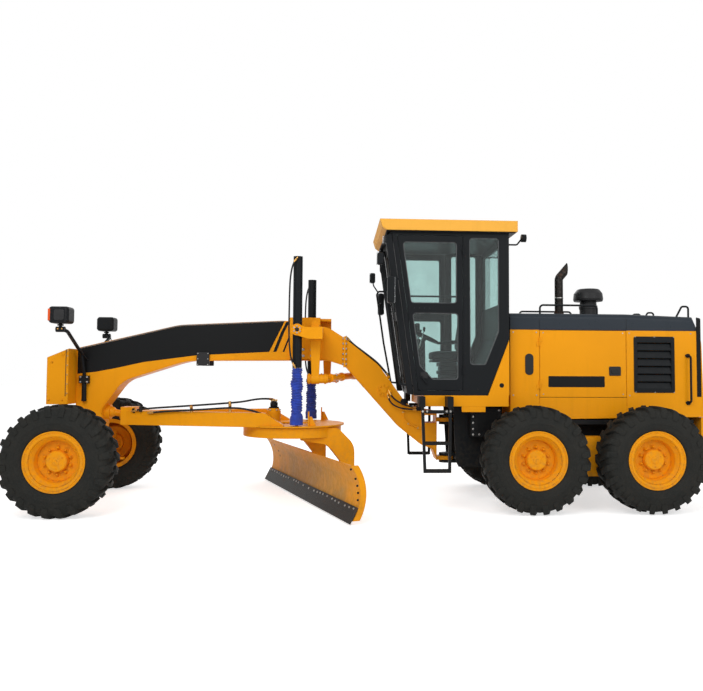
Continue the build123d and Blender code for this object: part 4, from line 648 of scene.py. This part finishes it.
# Operator's seat
def cushion(name, centre, size, turn, grooves, body):
    """A crowned cushion whose sides pull in between its corners, with sewn channels and piping."""
    bm = bmesh.new()
    bmesh.ops.create_cube(bm, size=2)
    bmesh.ops.subdivide_edges(bm, edges=bm.edges, cuts=23, use_grid_fill=True)
    place = Matrix.Translation(centre) @ Matrix.Rotation(turn, 4, "Y")
    half = Vector(size) / 2
    for vertex in bm.verts:
        u = vertex.co.copy()
        power = sum(abs(c) ** 6 for c in u) ** (1 / 6)
        u /= power
        crown = (1 - u.x ** 4) * (1 - u.y ** 4)
        lift = 1 + (0.20 if u.z > 0 else 0.04) * crown
        sewn = sum(0.16 * math.exp(-((u.y - g) / 0.035) ** 2) for g in grooves) if u.z > 0.2 else 0
        pull_x, pull_y = 1 - 0.035 * (1 - u.y ** 2), 1 - 0.03 * (1 - u.x ** 2)
        vertex.co = place @ Vector((half.x * u.x * pull_x, half.y * u.y * pull_y,
                                    half.z * (u.z * lift - sewn * crown)))
    piece = finished(name, bm, "seat_cloth", body, 180)
    rim = []
    for i in range(72):
        a = 2 * math.pi * i / 72
        c, s = math.cos(a), math.sin(a)
        reach = (abs(c) ** 6 + abs(s) ** 6) ** (-1 / 6)
        p, q = c * reach, s * reach
        x, y = half.x * p * (1 - 0.035 * (1 - q * q)), half.y * q * (1 - 0.03 * (1 - p * p))
        rim.append(place @ Vector((x, y, half.z * 0.25)))
    tube_object(name + "_piping", rim, 0.005, "black_plastic", body, False, True)
    return piece


def seat():
    """Cushion, back and their padding's edge, the base with its bellows, and the armrests."""
    body = "rear_body"
    base = cushion("seat_cushion", at(-1015, 0, 1960), (0.47, 0.50, 0.11), 0.0, (-0.62, 0.62), body)
    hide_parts("seat")
    lean = math.atan2(-100, 680)
    cushion("seat_back", at(-1240, 0, 2330), (0.60, 0.48, 0.10), lean + math.pi / 2, (-0.6, 0.6), body)
    blocks = [((-1230, -225, 1872), (-800, 225, 1904)), ((-1140, -165, 1492), (-890, 165, 1540))]
    for i in range(6):
        z, inset = 1545 + i * 54, (0 if i % 2 else 18)
        blocks.append(((-1135 + inset, -160 + inset, z), (-895 - inset, 160 - inset, z + 52)))
    boxes("seat_base", blocks, "black_plastic", body, (1,), 6)
    rods("armrest_posts", (((-1215, 262, 1990), (-1190, 262, 2130), 14),), "dark_steel", body)
    boxes("armrests", (((-1230, 230, 2130), (-920, 294, 2165)),), "black_plastic", body, bevel=12)


# Window seals
def rim_of(flat):
    """The vertices round the outside of some faces, in order."""
    edges = [edge for face in flat for edge in face.edges if sum(f in flat for f in edge.link_faces) == 1]
    if not edges:
        return []
    follow = {}
    for edge in edges:
        for a, b in (edge.verts, reversed(edge.verts)):
            follow.setdefault(a, []).append(b)
    line, before = [edges[0].verts[0]], None
    while len(line) <= len(edges):
        ahead = next(vertex for vertex in follow[line[-1]] if vertex is not before)
        before = line[-1]
        if ahead is line[0]:
            break
        line.append(ahead)
    return line


def seals(node, body):
    """A rubber bead round each pane of a glass node, on both faces; its grey, lighter than black rubber, is
    a painted highlight.
    """
    bm = bmesh.new()
    bm.from_mesh(frame["nodes"][node].data)
    bmesh.ops.remove_doubles(bm, verts=bm.verts, dist=0.00002)
    seen, count = set(), 0
    for first in bm.verts:
        if first in seen:
            continue
        pane, queue = {first}, [first]
        while queue:
            for edge in queue.pop().link_edges:
                for vertex in edge.verts:
                    if vertex not in pane:
                        pane.add(vertex)
                        queue.append(vertex)
        seen |= pane
        faces = [face for face in bm.faces if face.verts[0] in pane]
        normal = max(faces, key=lambda face: face.calc_area()).normal.copy()
        for way in (1, -1):
            line = rim_of([face for face in faces if face.normal.dot(normal * way) > 0.999])
            if not line:
                continue
            count += 1
            tube_object(f"seal_{node}_{count}", [vertex.co.copy() for vertex in line], 0.013, "seal_rubber_painted_highlight",
                        body, False, True)
    bm.free()


# Beam, neck and saddle
BEAM_PANEL = (
    (3928, 1690), (3928, 2012, 40), (2608, 2333, 900), (1215, 2403, 8), (1282, 2266), (1415, 1996, 12),
    (2360, 1946, 900), (3070, 1850, 500), (3430, 1768, 300), (3700, 1716),
)
BEAM_STRIPES = (
    ((1190, 2404), (1148, 2404), (1215, 2266), (1318, 1998), (1362, 1996), (1258, 2266)),
    ((1100, 2402), (1082, 2402), (1138, 2198), (1212, 1998), (1236, 1998), (1160, 2198)),
)
# A grey strip along the top of the beam's side: the painted highlight of its top edge
BEAM_EDGE_HIGHLIGHT = ((3928, 2014), (2609, 2335, 900), (1215, 2405), (1215, 2416), (2611, 2347, 900), (3928, 2026))


def beam_trim():
    """Panel, stripes and box on the beam, a grey strip that paints the highlight of its top edge, the bolts
    of its joints, and the neck's boss.
    """
    body, face, box_face = "front_body", BEAM_SIDE - 0.5, BEAM_SIDE + 36
    plates("beam_panel", (BEAM_PANEL,), face, face + 2.2, "panel_black", body)
    plates("beam_stripes", BEAM_STRIPES, face, face + 2, "panel_black", body)
    # Painted highlight: a grey strip along the beam's top edge
    plates("beam_highlight_strip", (BEAM_EDGE_HIGHLIGHT,), face, face + 5, "beam_highlight_strip", body)
    plates("beam_box", (rectangle(2205, 2372, 1805, 1985, 10),), BEAM_SIDE, box_face, "black_plastic",
           body, bevel=4)
    bolts("beam_box_bolts", grid((2222, 2355), box_face, (1822, 1896, 1968)), 6, 6, "zinc", body)
    # Bolted joint between the beam and the neck: both sides of the flange
    heights = (2185, 2115, 2045, 1975, 1905, 1840)
    for end, x, way in (("front", 414, 1), ("rear", 386, -1)):
        bolts("joint_bolts_" + end, [(x, 174, z) for z in heights], 13, 16, "zinc", body, axis=(way, 0, 0))
    rods("nose_joint", (((3974, NOSE_SIDE - 1, 1402), (3974, NOSE_SIDE - 1, 2004), 5),), "seal_brown", body)
    bolts("nose_bolts", [(3957, NOSE_SIDE, z) for z in (1440, 1560, 1680, 1800, 1920, 1985)], 9, 10,
          "brass", body)
    corners = ((4010, 1360), (4180, 1360), (4010, 1930), (4150, 1840))
    bolts("nose_face_bolts", [(x, NOSE_SIDE, z) for x, z in corners], 12, 13, "yellow_paint", body)
    # Round boss on the neck's side, with its ring of bolts
    x, y, z = -140, NECK_SIDE, 1485
    rods("neck_boss", (((x, y - 2, z), (x, y + 8, z), 92), ((x, y, z), (x, y + 16, z), 40)), "yellow_paint",
         body, steps=40)
    bolts("neck_boss_bolts", ring((x, y + 8, z), 68, 8), 10, 11, "yellow_paint", body)


def saddle_trim():
    """Trunnion caps, hose ports and the saddle's bolts."""
    body, outer, pivot_z = "front_body", 742, 2270
    for letter, side in SIDES:
        x, barrel = LIFT_X[letter] * 1000, "lift_barrel_" + letter
        bolts("trunnion_bolts_" + letter, ring((x, outer, pivot_z), 42, 6, 0.5), 8, 8, "zinc", body,
              (side,))
        rods("trunnion_cap_" + letter, (((x, outer - 2, pivot_z), (x, outer + 6, pivot_z), 26),),
             "dark_steel", body, (side,), 28)
        low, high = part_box(barrel)
        ports = ((high.z * 1000 - 42, 25, 706), (low.z * 1000 + 27, 33, 704))
        rods("hose_ports_" + letter, [((x, 660, z), (x + reach, y, z), 16) for z, reach, y in ports],
             "black_paint", barrel, (side,))
        feet = [(x + dx, 220, z) for dx in (-255, -170, -60, 60) for z in (1945, 2030)]
        bolts("saddle_bolts_" + letter, feet, 14, 16, "zinc", body, (side,))
    corners = [(505, 400 + dy, 1650 + dz) for dy, dz in ((-38, 38), (-38, -38), (38, 38))]
    bolts("shift_flange_bolts", corners, 9, 10, "zinc", body, (1,), (0.7, 0.7, 0))


# Lamps
LAMP_LEAD = ((3826, 872, 2210), (3800, 860, 2170), (3796, 700, 2100), (3800, 450, 2010), (3800, 270, 1915),
             (3800, 166, 1880))


def lamp_trim():
    """The headlamps' pads, ribs, lenses, orange strips, bolts and leads."""
    body = "front_body"
    plates("lamp_pads", (rectangle(3808, 3930, 2345, 2472, 22),), 1008, 1017, "lamp_plastic", body,
           bevel=4)
    ribs = [rectangle(x, x + 5, 2318, 2502, 2) for x in (3782, 3792, 3962)]
    plates("lamp_ribs", ribs, 1006, 1012.5, "lamp_plastic", body)
    boxes("lamp_lenses", (((3998.5, 800, 2335), (4004, 980, 2485)),), "lamp_lens", body, bevel=3)
    boxes("lamp_strips", (((3974, 992, 2338), (4001.5, 1011.5, 2482)),), "orange_lens", body, bevel=4)
    bolts("lamp_bolts", ((3912, 914, 2243), (3862, 912, 2243)), 11, 12, "brass", body)
    bolts("post_bolts", grid((3782, 3868), 224, (1583, 1647)), 10, 11, "zinc", body)
    rods("lead_grommets", (((3800, 150, 1876), (3800, 172, 1881), 11),), "black_plastic", body)
    radius = 0.006
    for letter, side in SIDES:
        points = [at(x, side * y, z) for x, y, z in LAMP_LEAD]
        lead = tube_object("lamp_lead_" + letter, points, radius, "hose", body)


# Blade
# Bolts of the cutting edge along the blade, and the edge's face: its foot and the way up it
EDGE_BOLTS = (-1.70, -1.61, -1.485, -1.35, -1.226, -1.10, -0.977, -0.86, -0.738, -0.483, -0.37, -0.264,
              -0.036, 0.205, 0.421, 0.55, 0.658, 0.765, 0.925, 1.106, 1.22, 1.344, 1.546, 1.68, 1.809)
EDGE_FOOT = Vector((-0.0953, 0, 0.0241))
EDGE_UP = Vector((-0.4766, 0, 0.879))


def blade_place(t, z, out=0.0):
    """A point in metres on the blade's face at distance t along it, or out in front of it."""
    slope = (z - BLADE_MID_Z) / BLADE_RADIUS
    x = BLADE_CENTRE_X - (BLADE_RADIUS - out) * math.sqrt(1 - slope * slope)
    return BLADE_TURN @ Vector((x, t, BLADE_MID_Z + slope * (BLADE_RADIUS - out)))


def blade_trim():
    """Bolt heads along the cutting edge, and black discs that paint the shade of bolt holes in an end plate
    and in the face.
    """
    turn = BLADE_TURN.to_3x3()
    out = turn @ Vector((EDGE_UP.z, 0, -EDGE_UP.x))
    bm = bmesh.new()
    for i, t in enumerate(EDGE_BOLTS):
        up = 0.172 + 0.006 * math.sin(7.1 * i)
        bolt_into(bm, BLADE_TURN @ (EDGE_FOOT + EDGE_UP * up + Vector((0, t, 0))), out, 0.0105, 0.010)
    finished("edge_bolts", bm, "zinc", "blade", 20)
    bm = bmesh.new()
    # Black discs as the painted shade of the holes
    for z in (0.634, 0.526, 0.446, 0.366, 0.286):
        place = blade_place(1.874, z, -0.002) + turn @ Vector((0.03, 0, 0))
        lathe_into(bm, ((0.0135, 0), (0.0135, 0.0035), (0.004, 0.002)), 16,
                   aimed(place, turn @ Vector((0, 1, 0))))
    for t, z in ((-1.505, 0.587), (-1.395, 0.502), (-1.361, 0.434)):
        face = turn @ Vector((1, 0, (BLADE_MID_Z - z) * 2))
        lathe_into(bm, ((0.014, 0), (0.014, 0.002), (0.004, 0.001)), 16, aimed(blade_place(t, z), face))
    finished("blade_hole_shade", bm, "panel_black", "blade", 25)


# Cab
def cab_trim():
    """Lenses, mirrors, wipers, guards and bolts, and the levers and mat inside."""
    body = "rear_body"
    boxes("work_light_lens", (((-85.5, 590, 3409), (-81, 690, 3507)),), "lamp_lens", body, bevel=2)
    boxes("side_lamp_lens", (((14, 925, 3080), (18.5, 1005, 3225)),), "lamp_lens", body, bevel=2)
    boxes("mirror_faces", (((-208.5, 925, 2605), (-204.5, 1055, 2915)),), "mirror_glass", body, bevel=2)
    heights = (1530, 1700, 1820, 1980, 2420, 2710, 2980, 3230, 3370, 3500)
    bolts("pillar_bolts", [(-1140, CAB_SIDE, z) for z in heights], 6, 4, "dark_steel", body)
    bolts("sill_bolts", [(x, CAB_SIDE, 1520) for x in (-1180, -1300, -1420)], 6, 4, "dark_steel", body)
    corner = ((-474, 1452, 10), (-392, 1452, 20), (-106, 3470, 20), (-182, 3540, 10))
    plates("corner_guards", (corner,), 742, 774, "black_paint", body, bevel=6)
    arm = ((-455, 300, 1500), (-395, 300, 1620), (-330, 420, 2150), (-282, 520, 2600))
    for letter, side in SIDES:
        tube_object("wiper_arm_" + letter, [at(x, side * y, z) for x, y, z in arm], 0.007, "black_plastic",
                    body)
        rods("wiper_blade_" + letter, (((-352, 470, 2230), (-262, 545, 2880), 7),), "black_plastic", body,
             (side,))
    # A black disc on the cab's side as the painted shade of a hole
    hole = (((-1610, CAB_SIDE + 1, 1570), (-1610, CAB_SIDE - 4, 1570), 30),)
    rods("panel_hole_shade", hole, "panel_black", body, steps=28)
    for letter, side in SIDES:
        door = "cab_door_" + letter
        bolts("belt_bolts_" + letter, [(x, CAB_SIDE + 1, 2555) for x in (-480, -545, -610, -675)], 6, 5,
              "black_plastic", door, (side,))
        plates("door_lock_" + letter, (rectangle(-655, -560, 1655, 1735, 14),), CAB_SIDE - 1,
               CAB_SIDE + 12, "black_plastic", door, (side,), 3)
    rods("roof_eyes", [((x, 700, 3672), (x, 700, 3686), 24) for x in (-340, -1740)], "dark_steel", body)
    # Inside: grab bar, levers on both sides of the wheel and the pods that hold them, floor mat
    rods("inside_bar", (((-430, 600, 2725), (-1070, 600, 2725), 12),), "black_plastic", body)
    levers, knobs = [], []
    for i in range(5):
        x, y = -640 + 6 * i, 215 + 42 * i
        levers.append(((-600, y * 0.75, 2040), (x - 35, y, 2290), 6))
        knobs.append(((x - 34, y, 2283), (x - 41, y, 2335), 15))
    rods("levers", levers, "chrome", body)
    rods("lever_knobs", knobs, "black_plastic", body)
    pods = [((-650, y, 1950), (-565, y + 270, 2050)) for y in (130, -400)]
    boxes("lever_pods", pods + [((-620, -210, 2255), (-555, 210, 2400))], "black_plastic", body, (1,), 20)
    plates("floor_mat", (rectangle(-1380, -540, 1491, 1497, 2),), -700, 700, "textured_plastic", body,
           (1,))


# On each engine door: a plate's name, outline, inner and outer face from the hood's side, finish, bevel
DOOR_PLATES = (
    ("door_plate_", rectangle(-3022, -2268, 1548, 1692, 12), -2, 2.5, "panel_black", 0),
    ("door_latch_", rectangle(-3240, -3082, 1700, 1822, 14), -2, 10, "black_plastic", 4),
    ("door_pull_", rectangle(-3214, -3108, 1728, 1780, 16), 6, 20, "textured_plastic", 5),
)


def hood_trim():
    """Plates, latches, screws, knobs, clamps and the filler cap on the hood."""
    body, y = "rear_body", HOOD_SIDE
    plates("hood_plate_oval", (rectangle(-2068, -1958, 1705, 1985, 52),), y - 2, y + 9,
           "textured_plastic", body, bevel=4)
    strip = ((-4275, 1425, 6), (-4334, 1425, 6), (-4334, 2470, 20), (-4275, 2484, 6))
    plates("hood_rear_strip", (strip,), y - 2, y + 4, "panel_black", body)
    for letter, side in SIDES:
        door = "engine_door_" + letter
        for name, outline, inner, outer, material, bevel in DOOR_PLATES:
            plates(name + letter, (outline,), y + inner, y + outer, material, door, (side,), bevel)
        bolts("door_screws_" + letter, grid((-2200, -3270), y, (1455, 2262)), 6, 4, "zinc", door, (side,))
    bolts("hood_screws", grid((-1800, -2110, -3360, -4200), y, (1440, 2265)), 7, 5, "zinc", body)
    bolts("grille_screws", grid((-3440, -3700, -3960), y + 7, (1484, 2216)), 5, 4, "zinc", body)
    knobs = [((-4130, y, z), (-4130, y + 20, z), 15) for z in (1970, 1350)]
    rods("handle_knobs", knobs, "black_plastic", body)
    clamps = (((-2610, 0, 2560), (-2610, 0, 2580), 64), ((-2610, 0, 2775), (-2610, 0, 2792), 62))
    rods("stack_clamps", clamps, "zinc", body, (1,), 32)
    rods("cleaner_band", (((-3030, 0, 2660), (-3030, 0, 2682), 130),), "zinc", body, (1,), 36)
    cap = (((-3620, 250, 2515), (-3620, 250, 2548), 55), ((-3620, 250, 2545), (-3620, 250, 2556), 40))
    rods("filler_cap", cap, "black_plastic", body, (1,), 24)


# Frame between the wheels, ladders, neck and drawbar
def frame_trim():
    """Ribs on the treads, and the plates and bolts between the wheels."""
    body = "rear_body"
    plates("step_plate", (rectangle(-1400, -1092, 1228, 1306, 8),), CAB_SIDE - 15, CAB_SIDE - 1,
           "yellow_paint", body, bevel=2)
    bolts("bracket_bolts", [(x, 1010, 1250) for x in (-563, -618, -862, -911)], 10, 10, "zinc", body)
    ribs = [((-895, y, z + 17), (-600, y + 6, z + 23)) for z in (508, 850, 1240)
            for y in range(936, 1016, 16)]
    boxes("tread_ribs", ribs, "dark_steel", body)
    near = [(-1270, z) for z in (930, 1000, 1080, 1160, 1240)] + [(x, 930) for x in (-1350, -1440, -1520)]
    near += [(-1350, 1240), (-1610, 930), (-1610, 1090), (-1610, 1240)]
    bolts("box_bolts", [(x, BOX_SIDE, z) for x, z in near], 10, 10, "zinc", body)
    plates("box_cover", (rectangle(-1600, -1290, 960, 1210, 20),), BOX_SIDE - 1, BOX_SIDE + 6,
           "panel_black", body, bevel=3)
    for letter, side in SIDES:
        bolts("tandem_bolts_" + letter, [(x, 830, 665) for x in (-3150, -2950, -2430, -2230)], 14, 14,
              "yellow_paint", "tandem_" + letter, (side,))


def drawbar_trim():
    """The circle motor with its fittings and bolts, and the clamps and ports of the hoses."""
    body, x, y = "drawbar", 1330, 300
    stack = [((x, y, low), (x, y, high), radius)
             for low, high, radius in ((1248, 1268, 66), (1268, 1330, 50), (1330, 1342, 38))]
    rods("circle_motor", stack, "black_paint", body, (1,), 32)
    fittings = [((x + dx, y, 1336), (x + dx, y, 1362), 11) for dx in (-30, 0, 30)]
    fittings += [((x + dx - 16, y, 1356), (x + dx + 16, y, 1356), 9) for dx in (-30, 0, 30)]
    rods("motor_fittings", fittings, "brass", body, (1,))
    bolts("motor_bolts", ring((x, y, 1228), 84, 6, flat=True), 10, 10, "zinc", body, (1,), (0, 0, 1))
    clamps = (((2395, 330, 1198), (2395, 384, 1285), 20), ((1880, 455, 1198), (1880, 497, 1345), 20))
    rods("hose_clamps", clamps, "brass", body, (1,), 12)
    ties = (((3090, 190, 1190), (3090, 190, 1262), 22), ((3190, 140, 1180), (3190, 176, 1230), 17),
            ((2950, 190, 1180), (2950, 242, 1182), 16), ((1330, 300, 1100), (1345, 385, 1100), 16))
    rods("hose_ties", ties, "dark_steel", body, (1,), 12)


def hitch_trim():
    """Hose blocks and bosses, a round fitting and a steel pipe on the neck, and the circle's bolts."""
    body, y = "front_body", NECK_SIDE
    blocks = (((-650, 60, 1212), (-575, 215, 1284)), ((-640, -200, 1212), (-580, -60, 1262)))
    boxes("hose_block", blocks, "black_paint", body, (1,), 6)
    bosses = (((-182, 72, 1647), (-218, 72, 1674), 24), ((-190, y, 1436), (-190, y + 22, 1436), 26),
              ((-222, y, 1470), (-222, y + 22, 1470), 26))
    rods("hose_bosses", bosses, "yellow_paint", body, (1,))
    fitting = [((-405, y + a, 1330), (-405, y + b, 1330), r) for a, b, r in ((-1, 26, 44), (20, 42, 26))]
    rods("neck_fitting", fitting, "black_paint", body, (1,), 30)
    pipe = ((-395, 1240), (-398, 1160), (-430, 1075), (-520, 1010), (-640, 968))
    tube_object("neck_pipe", [at(x, y + 18, z) for x, z in pipe], 0.010, "yellow_paint", body)
    bolts("pipe_clips", [(x, y + 14, z) for x, z in ((-397, 1190), (-470, 1038), (-600, 980))], 13, 16,
          "brass", body, (1,))
    rear = [place for place in ring((1100, 0, 1008), 610, 24, 0.5, True) if place[0] < 1222]
    bolts("circle_bolts", rear, 12, 12, "yellow_paint", "circle", (1,), (0, 0, 1))


# Hoses: name, body, radius in mm, length in m, line in mm; each runs from fitting to fitting
LIFT_HOSE = ((1040, 706, 3170), (1075, 712, 3120), (1108, 708, 2960), (1116, 702, 2740), (1118, 700, 2500),
             (1120, 700, 2280), (1112, 700, 2060), (1088, 702, 1880), (1048, 704, 1810))
HOSES = (
    ("lift_hose_l", "lift_barrel_l", 11, 1.382, LIFT_HOSE),
    ("lift_hose_r", "lift_barrel_r", 11, 1.382, [(x - 145, -y, z - 150) for x, y, z in LIFT_HOSE]),
    ("draw_hose_upper", "drawbar", 13, 1.935,
     ((3180, 172, 1205), (3060, 196, 1232), (2670, 292, 1262), (2300, 385, 1290), (1940, 480, 1320),
      (1720, 520, 1340), (1560, 470, 1372), (1440, 370, 1378), (1361, 300, 1368))),
    ("draw_hose_lower", "drawbar", 13, 1.745,
     ((2950, 235, 1182), (2820, 268, 1200), (2280, 412, 1232), (1930, 500, 1262), (1740, 540, 1262),
      (1560, 560, 1225), (1440, 520, 1175), (1375, 450, 1120), (1350, 388, 1100))),
    ("neck_hose", "front_body", 15, 0.757,
     ((360, 72, 2190), (300, 72, 2120), (130, 72, 1998), (-20, 72, 1885), (-110, 72, 1796),
      (-201, 72, 1686))),
    ("hitch_hose_low", "front_body", 11, 0.469,
     ((-190, 172, 1416), (-203, 192, 1358), (-250, 214, 1298), (-345, 224, 1250), (-450, 214, 1232),
      (-566, 192, 1230))),
    ("hitch_hose_high", "front_body", 11, 0.426,
     ((-215, 172, 1452), (-246, 196, 1396), (-318, 214, 1338), (-410, 220, 1292), (-490, 210, 1268),
      (-566, 190, 1260))),
)


def hoses():
    """The hoses, with a nut, a ferrule and a stub on each end."""
    for name, body, radius, length, line in HOSES:
        points, r = [at(*p) for p in line], radius / 1000
        piece = tube_object(name, points, r, "hose", body)
        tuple(points[0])
        bm = bmesh.new()
        for end, inner in ((points[0], points[1]), (points[-1], points[-2])):
            way = (inner - end).normalized()
            turn = aimed(end - way * 0.012, way)
            lathe_into(bm, ((r * 1.25, 0), (r * 1.25, 0.020), (r * 1.1, 0.024)), 6, turn)
            lathe_into(bm, ((r * 1.16, 0.022), (r * 1.16, 0.052), (r * 1.02, 0.055)), 20, turn)
            lathe_into(bm, ((r * 0.8, -0.03), (r * 0.8, 0.002)), 16, turn)
        finished(name + "_fittings", bm, "brass", body, 25)


# Camera, light and floor
def camera():
    """The camera of the photograph, yaw from straight at the left side."""
    yaw, pitch, roll = (math.radians(angle) for angle in CAMERA_AIM)
    ahead = Vector((math.sin(yaw) * math.cos(pitch), -math.cos(yaw) * math.cos(pitch), math.sin(pitch)))
    right = ahead.cross(Vector((0, 0, 1))).normalized()
    up = right.cross(ahead)
    right, up = right * math.cos(roll) + up * math.sin(roll), up * math.cos(roll) - right * math.sin(roll)
    turn = Matrix((right, up, -ahead)).transposed()
    data = bpy.data.cameras.new("camera")
    data.lens = CAMERA_LENS
    data.sensor_width = 36
    data.shift_x, data.shift_y = CAMERA_SHIFT
    data.clip_end = 200
    piece = placed("camera", data)
    piece.matrix_world = Matrix.Translation(CAMERA_PLACE) @ turn.to_4x4()
    bpy.context.scene.camera = piece


def area_light(name, place, target, size, power):
    """A round soft lamp aimed at target, unseen through glass."""
    data = bpy.data.lights.new(name, "AREA")
    data.shape = "DISK"
    data.size = size
    data.energy = power
    piece = placed(name, data)
    piece.location = place
    piece.visible_transmission = False
    piece.rotation_euler = (Vector(target) - Vector(place)).to_track_quat("-Z", "Y").to_euler()


def background_rays(tree):
    """1 for a ray that shows the background: seen directly, in a reflection or through glass."""
    ray = add(tree, "ShaderNodeLightPath").outputs
    far = calculate(tree, "MAXIMUM", ray["Is Glossy Ray"], ray["Is Transmission Ray"])
    return calculate(tree, "MAXIMUM", ray["Is Camera Ray"], far)


def studio():
    """A floor and world that the camera and glossy surfaces see as white, and plain soft lamps."""
    bm = bmesh.new()
    bmesh.ops.create_grid(bm, x_segments=1, y_segments=1, size=60)
    data = bpy.data.meshes.new("floor")
    bm.to_mesh(data)
    bm.free()
    material, tree, shader, where = new_material("floor")
    rough = ramp(tree, noise(tree, where, 2), 0.3, 0.7, 0.86, 0.9)
    glow = ramp(tree, background_rays(tree), 0, 1, 0, FLOOR_SEEN)
    feed(tree, shader, Base_Color=(0.90, 0.90, 0.90), Roughness=rough, Emission_Color=(1, 1, 1),
         Emission_Strength=glow)
    data.materials.append(material)
    placed("floor", data)
    world = bpy.data.worlds.new("world")
    bpy.context.scene.world = world
    world.use_nodes = True
    tree = world.node_tree
    glow = ramp(tree, background_rays(tree), 0, 1, WORLD_LIGHT, WORLD_SEEN)
    feed(tree, tree.nodes["Background"], Color=(1, 1, 1), Strength=glow)
    area_light("key", (3.5, 9, 8), (0, 0, 1.4), 6, 480)
    area_light("fill", (-6, 7, 5), (-1, 0, 1.4), 5, 160)
    area_light("back", (-2, -9, 7), (0, 0, 1.5), 6, 200)


bpy.context.scene.view_settings.view_transform = "Standard"
camera()
studio()
dress_all()
wheels()
bellows()
seat()
seals("cab_glass", "rear_body")
seals("door_glass_l", "cab_door_l")
seals("door_glass_r", "cab_door_r")
beam_trim()
saddle_trim()
lamp_trim()
blade_trim()
cab_trim()
hood_trim()
frame_trim()
drawbar_trim()
hitch_trim()
hoses()
